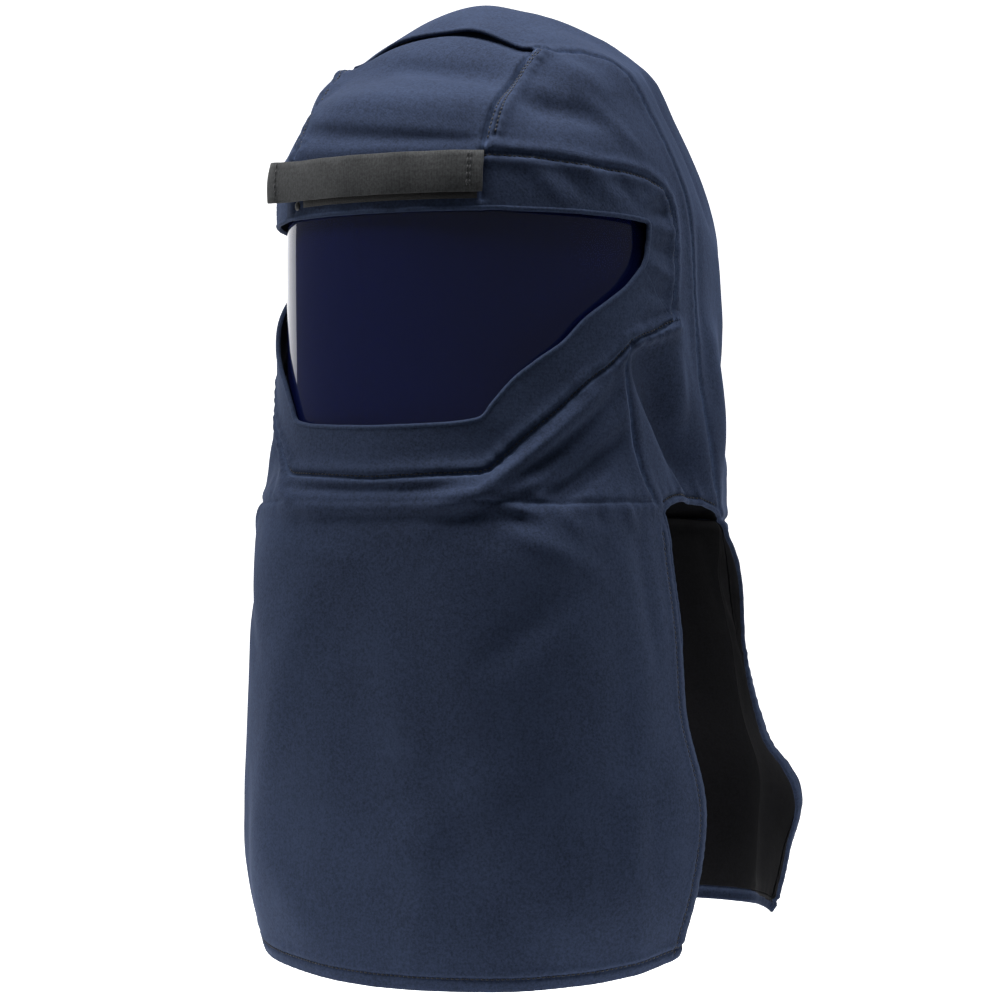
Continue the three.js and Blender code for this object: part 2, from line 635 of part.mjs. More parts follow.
// Seams on the wearer's left. Panels on both sides of a seam use the same points.
function layOutSeams() {
  const ventCorner = patternFromPlan(CROWN_PANEL_HALF, VENT_AHEAD);
  const ventDrop = columnAt('drop', patternStation(ventCorner));
  const bandDrop = WINDOW_TOP - FACING_WIDTH * BAND_RISE;
  const crownSeam = crownSeamPoints(ventDrop, bandDrop, CROWN_ROWS);
  const bandSeam = crownSeamPoints(bandDrop, WINDOW_TOP, BAND_ROWS);
  const upperWindow = [
    bandSeam[BAND_ROWS],
    ...UPPER_FACING.map((row) => patternPoint(row.windowAngle, WINDOW_TOP + row.fall * WINDOW_SIDE)),
  ];
  const upperEdge = [
    bandSeam[0],
    ...UPPER_FACING.map((row) => patternPoint(row.edgeAngle, WINDOW_TOP - row.rise * FACING_WIDTH)),
  ];
  const lowerWindow = LOWER_FACING.map((row) => (
    patternPoint(row.windowAngle, WINDOW_SILL - row.windowRise * cheekHeight)
  ));
  const lowerEdge = LOWER_FACING.map((row) => (
    patternPoint(row.edgeAngle, facingSill - row.edgeRise * cheekHeight)
  ));
  upperWindow.push(lowerWindow[0]);
  upperEdge.push(lowerEdge[0]);
  const yokeEnd = patternPoint(YOKE_ANGLE, YOKE_SEAM);
  const sideSeam = [lowerEdge[SEAM_CORNER], ...fromTable(SIDE_SEAM), yokeEnd];
  const slitFront = patternPoint(SLIT_FRONT_ANGLE, SLIT_FRONT);
  const slitBack = patternPoint(BACK_SEAM_ANGLE, BACK_SEAM);
  const sideFront = [
    ...crownSeam,
    ...upperEdge.slice(1),
    ...lowerEdge.slice(1, SEAM_CORNER),
    ...sideSeam,
    slitFront,
  ];
  const rearPlan = REAR_SEAM_PLAN.map((row) => (
    patternFromPlan(row.across * HALF_WIDTH, row.ahead * BACK_DEPTH)
  ));
  const rearPath = new THREE.SplineCurve([...rearPlan, ...fromTable(REAR_SEAM_DOWN), slitBack]);
  const templeRow = UPPER_FACING.findIndex((row) => row.edgeAngle > SHIELD_ANGLE) + 1;
  const rearRuns = [
    { rows: CROWN_ROWS, share: REAR_SHARES.crown },
    { rows: templeRow, share: REAR_SHARES.brow },
    { rows: upperEdge.length - 1 - templeRow, share: REAR_SHARES.temple },
    { rows: SEAM_CORNER + SIDE_SEAM.length + 1, share: REAR_SHARES.cheek },
    { rows: 1, share: 1 },
  ];
  const rearShares = [0];
  rearRuns.forEach((run) => {
    const from = rearShares[rearShares.length - 1];
    for (let k = 1; k <= run.rows; k += 1) {
      rearShares.push(lerp(from, run.share, k / run.rows));
    }
  });
  const rearSeam = rearShares.map((share) => rearPath.getPointAt(share));
  return {
    ventCorner, crownSeam, bandSeam, upperWindow, upperEdge, lowerWindow, lowerEdge, sideSeam,
    slitFront, slitBack, sideFront, rearSeam, rearShares,
  };
}

const seams = layOutSeams();

// Rows across the hood, each an arc between two mirrored seam points through a middle point
function acrossRows(edges, middles, columns, halfTurn) {
  return edges.map((edge, r) => {
    const turn = halfTurn(edge);
    const row = [];
    for (let c = 0; c <= columns; c += 1) {
      const u = (2 * c) / columns - 1;
      const across = (edge.x * Math.sin(u * turn)) / Math.sin(turn);
      const bow = (1 - Math.cos(u * turn)) / (1 - Math.cos(turn));
      row.push(new THREE.Vector2(across, lerp(middles[r], edge.y, bow)));
    }
    return row;
  });
}

// Rows between two seams, by angle and distance down the side
function betweenSeams(first, second, columns) {
  return first.map((start, r) => {
    const row = [];
    for (let c = 0; c <= columns; c += 1) {
      row.push(mixPolar(start, second[r], c / columns));
    }
    return row;
  });
}

const mirrorRow = (row) => row.map(mirrored).reverse();
const mirrorGrid = (grid) => grid.map(mirrorRow);
const seamHalf = SEAM_GAP / 2;
const bindingEdge = BINDING_RADIUS + BINDING_CLEARANCE;
const seamTrim = { start: seamHalf, end: seamHalf, top: seamHalf, bottom: seamHalf };
const boundBottom = { start: seamHalf, end: seamHalf, top: seamHalf, bottom: bindingEdge };

// Colours and finishes
const TWILL = { color: 0x27375a, roughness: 0.92, metalness: 0 };
const LINING = { color: 0x16161b, roughness: 0.95, metalness: 0 };
const WEBBING = { color: 0x3d3d3b, roughness: 0.85, metalness: 0 };
const HOOK_TAPE = { color: 0x101012, roughness: 0.8, metalness: 0 };
const TINTED = { color: 0x1b2148, roughness: 0.08, metalness: 0, transparent: true, opacity: 0.6 };
const PLASTIC = { color: 0x141416, roughness: 0.5, metalness: 0 };

function namedMesh(name, geometry, finish) {
  const mesh = new THREE.Mesh(geometry, new THREE.MeshStandardMaterial(finish));
  mesh.name = name;
  return mesh;
}

// Sheet over a grid of pattern points, between two heights over the folded surface
function clothPiece(name, grid, trim, finish, outerLift = 0, innerLift = -SHELL_WALL) {
  const facings = grid.map((row) => row.map((p) => surfaceNormal(p, foldedPoint)));
  const outer = trimGrid(layer(grid, facings, outerLift), facings, trim);
  const inner = trimGrid(layer(grid, facings, innerLift), facings, trim);
  return namedMesh(name, sheetGeometry(outer, inner, layer(grid, facings, 0)), finish);
}

// How far behind the vent flap's free edge a pattern point lies
function behindVent(p) {
  return patternFromPlan(0, VENT_AHEAD - VENT_BOW).y - p.y;
}

// The front panel dips under the vent flap
function ventDip(p) {
  const dip = THREE.MathUtils.smoothstep(behindVent(p), -VENT_DIP, 0);
  return -dip * (SHELL_WALL + VENT_CLEARANCE);
}

// The vent flap gapes at two places across its free edge and settles further back
function ventGape(p) {
  const fade = 1 - THREE.MathUtils.smoothstep(behindVent(p), 0, VENT_FADE);
  const across = p.x / seams.ventCorner.x;
  const bells = VENT_GAPES.map((row) => row.share * Math.exp(-(((across - row.across) / row.wide) ** 2)));
  const gape = bells.reduce((sum, bell) => sum + bell, 0);
  return fade * VENT_GAPE * gape * Math.max(0, 1 - across * across);
}

function crownFrontPanel() {
  const { crownSeam, bandSeam, ventCorner } = seams;
  const lapCorner = patternFromPlan(CROWN_PANEL_HALF, VENT_AHEAD - VENT_LAP);
  const edges = [lapCorner, ...crownSeam, ...bandSeam.slice(1)];
  const ventMiddle = patternFromPlan(0, VENT_AHEAD - VENT_BOW).y;
  const browMiddle = stationAtDrop(WINDOW_TOP);
  const browRow = edges[edges.length - 1];
  const middles = edges.map((edge) => {
    const u = (edge.length() - ventCorner.length()) / (browRow.length() - ventCorner.length());
    return lerp(ventMiddle, browMiddle, u);
  });
  middles[0] = ventMiddle - VENT_LAP;
  const grid = acrossRows(edges, middles, CROWN_COLUMNS, () => patternAngle(browRow));
  const lapInset = (r) => (r === 0 ? VENT_CLEARANCE : seamHalf);
  const trim = { start: lapInset, end: lapInset, top: 0, bottom: bindingEdge };
  const inner = (p) => ventDip(p) - SHELL_WALL;
  return { grid, mesh: clothPiece('crown_front_panel', grid, trim, TWILL, ventDip, inner) };
}

// Rows of the back panel, from the vent over the crown and down to the back seam
function backPanelGrid() {
  const { rearSeam, rearShares, ventCorner, slitBack } = seams;
  const topMiddle = patternFromPlan(0, VENT_AHEAD - VENT_BOW).y;
  const bottomMiddle = -stationAtDrop(BACK_SEAM);
  const edges = [ventCorner, ...rearSeam];
  const middles = [0, ...rearShares].map((share, r) => {
    const even = r / (edges.length - 1);
    return lerp(topMiddle, bottomMiddle, lerp(even, share, 0.5));
  });
  const bottomTurn = Math.PI - patternAngle(slitBack);
  const crownTurn = radians(CROWN_TURN);
  const halfTurn = (edge) => Math.max(bottomTurn, Math.min(Math.PI - patternAngle(edge), crownTurn));
  return acrossRows(edges, middles, BACK_COLUMNS, halfTurn);
}

function crownBackPanel() {
  const grid = backPanelGrid();
  const side = (r) => (r === grid.length - 1 ? bindingEdge : seamHalf);
  const trim = { start: side, end: side, top: seamHalf, bottom: seamHalf };
  const inner = (p) => ventGape(p) - SHELL_WALL;
  return clothPiece('crown_back_panel', grid, trim, TWILL, ventGape, inner);
}

// Rows of a side panel. The last ones arch up over the shoulder slit.
function sidePanelGrid() {
  const grid = betweenSeams(seams.sideFront, seams.rearSeam, SIDE_COLUMNS);
  const last = grid.length - 1;
  return grid.map((row, r) => row.map((p, c) => {
    const u = c / SIDE_COLUMNS;
    const weight = Math.max(0, 1 - (last - r) / ARCH_ROWS);
    const rise = SLIT_RISE * weight * (4 * u * (1 - u)) ** ARCH_POWER;
    return p.clone().setLength(p.length() - rise);
  }));
}

// Strip between the window's edge and the facing's outer edge
function facingGrid(edge, windowEdge, start) {
  const grid = [];
  for (let r = 0; r <= BAND_ROWS; r += 1) {
    const row = edge.map((p, k) => mixPolar(p, windowEdge[k], r / BAND_ROWS));
    if (start) {
      row[0] = start[r];
    }
    grid.push(row);
  }
  return grid;
}

const upperFacingGrid = () => facingGrid(seams.upperEdge, seams.upperWindow, seams.bandSeam);

function lowerFacingGrid() {
  const whole = (half) => [...half, ...mirrorRow(half).slice(1)];
  return facingGrid(whole(seams.lowerEdge), whole(seams.lowerWindow));
}

// Yoke between the lower facing and the yoke seam, and between the two side seams
function yokeGrid() {
  const half = seams.lowerEdge.slice(SEAM_CORNER);
  const top = [...half, ...mirrorRow(half).slice(1)];
  const columns = top.length - 1;
  const rows = seams.sideSeam.length - 1;
  const foot = top.map((p, c) => patternPoint(bibAngle(YOKE_SEAM, c, columns), YOKE_SEAM));
  const grid = [];
  for (let r = 0; r <= rows; r += 1) {
    const row = top.map((p, c) => mixPolar(p, foot[c], r / rows));
    row[0] = seams.sideSeam[r];
    row[columns] = mirrored(seams.sideSeam[r]);
    grid.push(row);
  }
  return grid;
}

// Angle of one of the bib's columns at a drop, from the wearer's left edge to the right one
function bibAngle(drop, column, columns) {
  const edge = tableValue(BIB_EDGE, 'drop', 'angle', shareAt(drop));
  return edge * (1 - (2 * column) / columns);
}

function bibGrid(columns) {
  const drops = [YOKE_SEAM];
  for (let r = 0; r < BIB_ROWS; r += 1) {
    drops.push(lerp(SLIT_FRONT, HOOD_LENGTH, r / (BIB_ROWS - 1)));
  }
  return drops.map((drop) => {
    const row = [];
    const hemShare = Math.max(0, (drop - SLIT_FRONT) / (HOOD_LENGTH - SLIT_FRONT));
    for (let c = 0; c <= columns; c += 1) {
      const side = Math.abs(1 - (2 * c) / columns);
      const raised = drop - HEM_RISE * hemShare * side ** HEM_POWER;
      row.push(patternPoint(bibAngle(raised, c, columns), raised));
    }
    return row;
  });
}

function flapGrid() {
  const grid = [];
  for (let r = 0; r <= FLAP_ROWS; r += 1) {
    const share = r / FLAP_ROWS;
    const row = [];
    for (let c = 0; c <= BACK_COLUMNS; c += 1) {
      const u = 1 - (2 * c) / BACK_COLUMNS;
      const rise = FLAP_HEM_RISE * share * Math.abs(u) ** HEM_POWER;
      const drop = lerp(BACK_SEAM, FLAP_LENGTH, share) - rise;
      const edge = tableValue(FLAP_EDGE, 'drop', 'angle', shareAt(drop));
      row.push(patternPoint(180 - u * (180 - edge), drop));
    }
    grid.push(row);
  }
  return grid;
}

// Stops for a cord of binding, along pattern points
function bindingStops(points) {
  return points.map((p) => {
    const facing = surfaceNormal(p, foldedPoint);
    return { place: foldedPoint(p).addScaledVector(facing, -BINDING_SINK), facing };
  });
}

function windowBinding(browRow) {
  const left = [...seams.upperWindow.slice(1), ...seams.lowerWindow.slice(1)];
  const ring = [...browRow, ...left, ...mirrorRow(left).slice(1)];
  return namedMesh('window_binding', cordGeometry(bindingStops(ring), BINDING_RADIUS, true), TWILL);
}

// Binding of a shoulder slit: up the bib's edge, over the arch and down the flap's edge
function slitPoints(archRow) {
  const edgePoints = (table, top) => {
    const points = [];
    for (let k = 1; k <= BOUND_STEPS; k += 1) {
      const drop = top + (BOUND_LENGTH * k) / BOUND_STEPS;
      points.push(patternPoint(tableValue(table, 'drop', 'angle', shareAt(drop)), drop));
    }
    return points;
  };
  return [
    ...edgePoints(BIB_EDGE, SLIT_FRONT).reverse(),
    ...archRow,
    ...edgePoints(FLAP_EDGE, BACK_SEAM),
  ];
}

function slitBinding(name, points) {
  return namedMesh(name, cordGeometry(bindingStops(points), BINDING_RADIUS, false), TWILL);
}

function faceShield() {
  const outer = [];
  const inner = [];
  for (let r = 0; r <= SHIELD_ROWS; r += 1) {
    const outerRow = [];
    const innerRow = [];
    for (let c = 0; c <= SHIELD_COLUMNS; c += 1) {
      const degrees = SHIELD_ANGLE * (1 - (2 * c) / SHIELD_COLUMNS);
      const top = WINDOW_TOP - SHIELD_LAP;
      const bottom = lowerFacingDrop(Math.abs(degrees)) - SHIELD_MARGIN;
      const p = patternPoint(degrees, lerp(top, bottom, r / SHIELD_ROWS));
      const facing = surfaceNormal(p, smoothPoint);
      const depth = SHELL_WALL + SHIELD_CLEARANCE;
      outerRow.push(smoothPoint(p).addScaledVector(facing, -depth));
      innerRow.push(smoothPoint(p).addScaledVector(facing, -depth - SHIELD_WALL));
    }
    outer.push(outerRow);
    inner.push(innerRow);
  }
  return namedMesh('face_shield', sheetGeometry(outer, inner, outer), TINTED);
}

// Grid of a band across the brow, from one distance left of the middle to one right of it
function browGrid(top, width, left, right) {
  return [top, top + width / 2, top + width].map((drop) => {
    const row = [];
    const from = patternAngle(pointAtAcross(left, drop));
    const to = patternAngle(pointAtAcross(right, drop));
    for (let c = 0; c <= TRIM_COLUMNS; c += 1) {
      const angle = THREE.MathUtils.radToDeg(lerp(from, to, c / TRIM_COLUMNS));
      row.push(patternPoint(angle, drop));
    }
    return row;
  });
}

const untrimmed = { start: 0, end: 0, top: 0, bottom: 0 };

function hookTape() {
  const left = CROWN_PANEL_HALF - TAPE_SEWN_SET_BACK;
  const right = TAPE_FREE_SET_BACK - CROWN_PANEL_HALF;
  const grid = browGrid(TAPE_TOP, TAPE_WIDTH, left, right);
  const outer = TRIM_CLEARANCE + TAPE_WALL;
  return clothPiece('hook_tape', grid, untrimmed, HOOK_TAPE, outer, TRIM_CLEARANCE);
}

function browStrap() {
  const right = -CROWN_PANEL_HALF - STRAP_FREE_RUN;
  const grid = browGrid(STRAP_TOP, STRAP_WIDTH, CROWN_PANEL_HALF, right);
  const from = patternAngle(grid[0][0]);
  const to = patternAngle(grid[0][TRIM_COLUMNS]);
  const seat = 2 * TRIM_CLEARANCE + TAPE_WALL;
  const lift = (p) => {
    const run = (patternAngle(p) - from) / (to - from);
    const raised = Math.max(0, (run - 1 + STRAP_LIFTED) / STRAP_LIFTED);
    return seat + STRAP_LIFT * raised * raised;
  };
  return clothPiece('brow_strap', grid, untrimmed, WEBBING, (p) => lift(p) + STRAP_WALL, lift);
}

// Domed head of the stud, seated on the brow beside the tape's free end
function stud() {
  const profile = STUD_PROFILE.map((row) => (
    new THREE.Vector2(row.radius * STUD_RADIUS, row.height * STUD_HEIGHT)
  ));
  const mesh = namedMesh('strap_stud', new THREE.LatheGeometry(profile, STUD_SIDES), PLASTIC);
  const seat = pointAtAcross(STUD_SET_BACK - CROWN_PANEL_HALF, STUD_DROP);
  const facing = surfaceNormal(seat, foldedPoint);
  mesh.position.copy(foldedPoint(seat).addScaledVector(facing, TRIM_CLEARANCE));
  mesh.quaternion.setFromUnitVectors(new THREE.Vector3(0, 1, 0), facing);
  return mesh;
}

function liningPiece(name, grid) {
  const outer = -SHELL_WALL - LINING_CLEARANCE;
  const trim = { start: HEM_TURN, end: HEM_TURN, top: seamHalf, bottom: HEM_TURN };
  return clothPiece(name, grid, trim, LINING, outer, outer - LINING_WALL);
}

// A free edge stands back from the slit's binding, as far down as the binding runs
function boundTrim(grid, top) {
  const boundDrop = top + BOUND_LENGTH;
  return (r) => {
    const drop = columnAt('drop', patternStation(grid[r][0]));
    return drop < boundDrop + BINDING_RADIUS ? bindingEdge : 0;
  };
}

function buildHood() {
  const hood = new THREE.Group();
  const crownFront = crownFrontPanel();
  hood.add(crownFront.mesh, crownBackPanel());

  const sideGrid = sidePanelGrid();
  hood.add(clothPiece('side_panel_left', sideGrid, boundBottom, TWILL));
  hood.add(clothPiece('side_panel_right', mirrorGrid(sideGrid), boundBottom, TWILL));

  const upperGrid = upperFacingGrid();
  hood.add(clothPiece('upper_facing_left', upperGrid, boundBottom, TWILL));
  hood.add(clothPiece('upper_facing_right', mirrorGrid(upperGrid), boundBottom, TWILL));
  hood.add(clothPiece('lower_facing', lowerFacingGrid(), boundBottom, TWILL));

  const yoke = yokeGrid();
  hood.add(clothPiece('front_yoke', yoke, seamTrim, TWILL));
  const bib = bibGrid(yoke[0].length - 1);
  const bibSide = boundTrim(bib, SLIT_FRONT);
  const bibTrim = { start: bibSide, end: bibSide, top: seamHalf, bottom: 0 };
  hood.add(clothPiece('front_bib', bib, bibTrim, TWILL), liningPiece('front_lining', bib));

  const flap = flapGrid();
  const flapSide = boundTrim(flap, BACK_SEAM);
  const flapTrim = { start: flapSide, end: flapSide, top: seamHalf, bottom: 0 };
  hood.add(clothPiece('back_flap', flap, flapTrim, TWILL), liningPiece('back_lining', flap));

  const browRow = [...crownFront.grid[crownFront.grid.length - 1]];
  hood.add(windowBinding(browRow));
  const slit = slitPoints(sideGrid[sideGrid.length - 1]);
  hood.add(slitBinding('slit_binding_left', slit));
  hood.add(slitBinding('slit_binding_right', slit.map(mirrored)));
  hood.add(faceShield(), hookTape(), browStrap(), stud());
  return hood;
}

export default buildHood();
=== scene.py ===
"""Arc flash hood: quilted cloth head part, tinted shield, chest bib and back flap.

Metres in Blender, millimetres in the pattern work. +X is the wearer's left, -Y is ahead, +Z is up.
"""
import math

import bmesh
import bpy
import numpy as np
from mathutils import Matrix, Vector


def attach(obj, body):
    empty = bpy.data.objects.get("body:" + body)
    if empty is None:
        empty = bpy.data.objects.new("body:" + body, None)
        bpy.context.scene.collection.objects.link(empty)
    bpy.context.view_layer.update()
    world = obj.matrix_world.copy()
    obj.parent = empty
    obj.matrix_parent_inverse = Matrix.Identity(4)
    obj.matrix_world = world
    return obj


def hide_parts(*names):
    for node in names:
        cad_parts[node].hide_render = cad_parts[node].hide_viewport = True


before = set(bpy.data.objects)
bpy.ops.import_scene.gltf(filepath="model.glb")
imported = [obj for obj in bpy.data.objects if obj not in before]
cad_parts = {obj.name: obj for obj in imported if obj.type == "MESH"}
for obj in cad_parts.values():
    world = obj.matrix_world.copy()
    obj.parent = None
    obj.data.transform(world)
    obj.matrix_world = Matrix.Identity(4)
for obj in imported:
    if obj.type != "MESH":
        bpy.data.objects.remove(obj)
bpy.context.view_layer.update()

bl_info = {
    "name": "Arc flash hood",
    "version": (1, 0, 0),
    "blender": (4, 5, 0),
    "location": "View3D > Sidebar > Hood",
    "description": "Builds a quilted arc flash hood with its shield, bindings and stitching",
    "category": "Add Mesh",
}

MM = 0.001
WAVE_SCALE = 0.16  # scale of a wave texture whose bands stand one unit apart
BODY = "root"
VIEW_TURN = math.radians(32)  # the camera's turn from the front towards the wearer's left
DETAIL = 7  # fine steps in each step of the coarse pattern
CROWN_STEPS, BAND_STEPS, BACK_STEPS, SIDE_STEPS, BIB_STEPS, FLAP_STEPS = 6, 2, 16, 7, 15, 13

# Cross-sections from the crown down, as shares of the hood's length, half width and depths
SECTIONS = [
    # drop, width, front, back, front squareness, back squareness
    (0, 0, 0, 0, 2, 2),
    (0.017, 0.293, 0.231, 0.27, 2, 2),
    (0.034, 0.453, 0.354, 0.425, 2, 2),
    (0.053, 0.613, 0.49, 0.54, 2, 2),
    (0.079, 0.767, 0.645, 0.62, 2.05, 2.05),
    (0.122, 0.86, 0.89, 0.715, 2.1, 2),
    (0.158, 0.927, 0.985, 0.795, 2.1, 2),
    (0.194, 0.973, 1, 0.88, 2.1, 2),
    (0.233, 0.995, 1, 0.95, 2.1, 2.05),
    (0.309, 1, 1, 0.99, 2.1, 2.1),
    (0.435, 1, 1, 1, 2.1, 2.15),
    (0.487, 1.003, 1, 1, 2.15, 2.2),
    (0.524, 1.02, 1.007, 0.97, 2.55, 2.2),
    (0.622, 1.067, 1.014, 0.92, 2.7, 2.8),
    (0.723, 1.12, 1.014, 0.92, 2.5, 3.3),
    (0.83, 1.22, 1.014, 0.945, 2.15, 3.8),
    (0.902, 1.22, 1.014, 0.925, 2.1, 3.8),
    (1, 1.1, 0.993, 0.91, 2, 3.8),
]
# Rear seam: across and ahead over the crown in shares of half width and back depth, then angle and drop
REAR_PLAN = [(0.567, 0.239), (0.66, 0.115), (0.76, 0), (0.85, -0.069), (0.92, -0.12)]
REAR_DOWN = [(103, 0.18), (107, 0.224), (109, 0.3), (111, 0.4), (115, 0.47)]
REAR_SHARES = (0.12, 0.36, 0.55, 0.97)
# Upper facing: window angle, fall in shares of the window's side, outer edge's angle, its rise
UPPER_FACING = [
    (42, 0.01, 42, 1.03), (52, 0.02, 53, 0.97), (62, 0.04, 64, 0.88), (71, 0.06, 75, 0.83),
    (78, 0.09, 85, 0.72), (82.2, 0.14, 92, 0.5), (82.6, 0.36, 95.5, 0.08), (82.3, 0.58, 96, -0.6),
    (81.5, 0.8, 95.5, -1.25),
]
# Lower facing: window angle and rise, outer edge's angle and rise, in shares of the cheek's height
LOWER_FACING = [
    (80, 1, 94, 0.99), (76.8, 0.93, 85, 0.92), (72.8, 0.85, 75.5, 0.847), (66.4, 0.755, 68, 0.7),
    (59.8, 0.65, 60, 0.577), (53.2, 0.5, 52.5, 0.42), (46, 0.385, 46.5, 0.306), (40, 0.275, 41, 0.198),
    (34.5, 0.13, 36, 0.09), (30.5, 0.03, 31, 0.02), (21.5, 0, 21.5, 0.01), (11, -0.01, 11, 0),
    (0, -0.015, 0, -0.01),
]
SEAM_CORNER = 2
YOKE_ANGLE, SLIT_FRONT_ANGLE, SLIT_BACK_ANGLE = 83, 87, 121  # ends of the bib's and the flap's top seams
SLIT_ARCH = 13  # rise of the side panel's lower edge over the shoulder, in millimetres
TURNED_HEM = 11  # height of the flap's hem that is turned inside, in millimetres
SIDE_SEAM = [(74, 0.398), (75.2, 0.434), (77, 0.469), (80, 0.5)]
BIB_EDGE = [(88.5, 0.545), (89.5, 0.58), (90.5, 0.65), (89, 0.74), (90, 0.84), (87, 0.9), (85.5, 0.98)]
FLAP_EDGE = [(124, 0.57), (127, 0.64), (126, 0.72), (123.5, 0.82), (125, 0.88), (127, 0.95)]
# Broad dents and ridges, as in the solids, in degrees and shares of the hood's sizes: from angle and
# drop, to angle and drop, width, height, and 1 if on both sides
FOLDS = [
    (-34, 0.073, 40, 0.096, 0.1, -0.035, 0), (-30, 0.112, 38, 0.124, 0.08, 0.02, 0),
    (-34, 0.141, 33, 0.166, 0.07, -0.03, 0), (44, 0.118, 58, 0.13, 0.14, -0.04, 1),
    (56, 0.075, 72, 0.105, 0.08, 0.03, 1), (68, 0.19, 92, 0.22, 0.09, 0.02, 1),
    (78, 0.36, 108, 0.5, 0.1, -0.06, 1), (98, 0.34, 112, 0.49, 0.08, 0.02, 1),
    (134, 0.36, 152, 0.5, 0.1, -0.035, 1), (-42, 0.5, -18, 0.527, 0.075, 0.025, 1),
    (-18, 0.527, 18, 0.53, 0.075, 0.025, 0), (24, 0.52, 62, 0.42, 0.075, 0.03, 0),
    (36, 0.55, 72, 0.455, 0.08, -0.022, 0), (-30, 0.6, -46, 0.95, 0.2, 0.012, 0),
    (28, 0.58, 44, 0.93, 0.22, 0.02, 0), (-4, 0.64, 3, 0.98, 0.22, -0.018, 0),
    (64, 0.6, 70, 0.98, 0.16, -0.02, 1), (180, 0.24, 180, 0.5, 0.24, -0.03, 0),
    (146, 0.5, 150, 0.94, 0.18, 0.045, 1), (162, 0.5, 166, 0.94, 0.13, -0.04, 1),
    (132, 0.6, 128, 0.68, 0.1, -0.045, 1), (132, 0.806, 120, 0.85, 0.18, 0.085, 1),
]
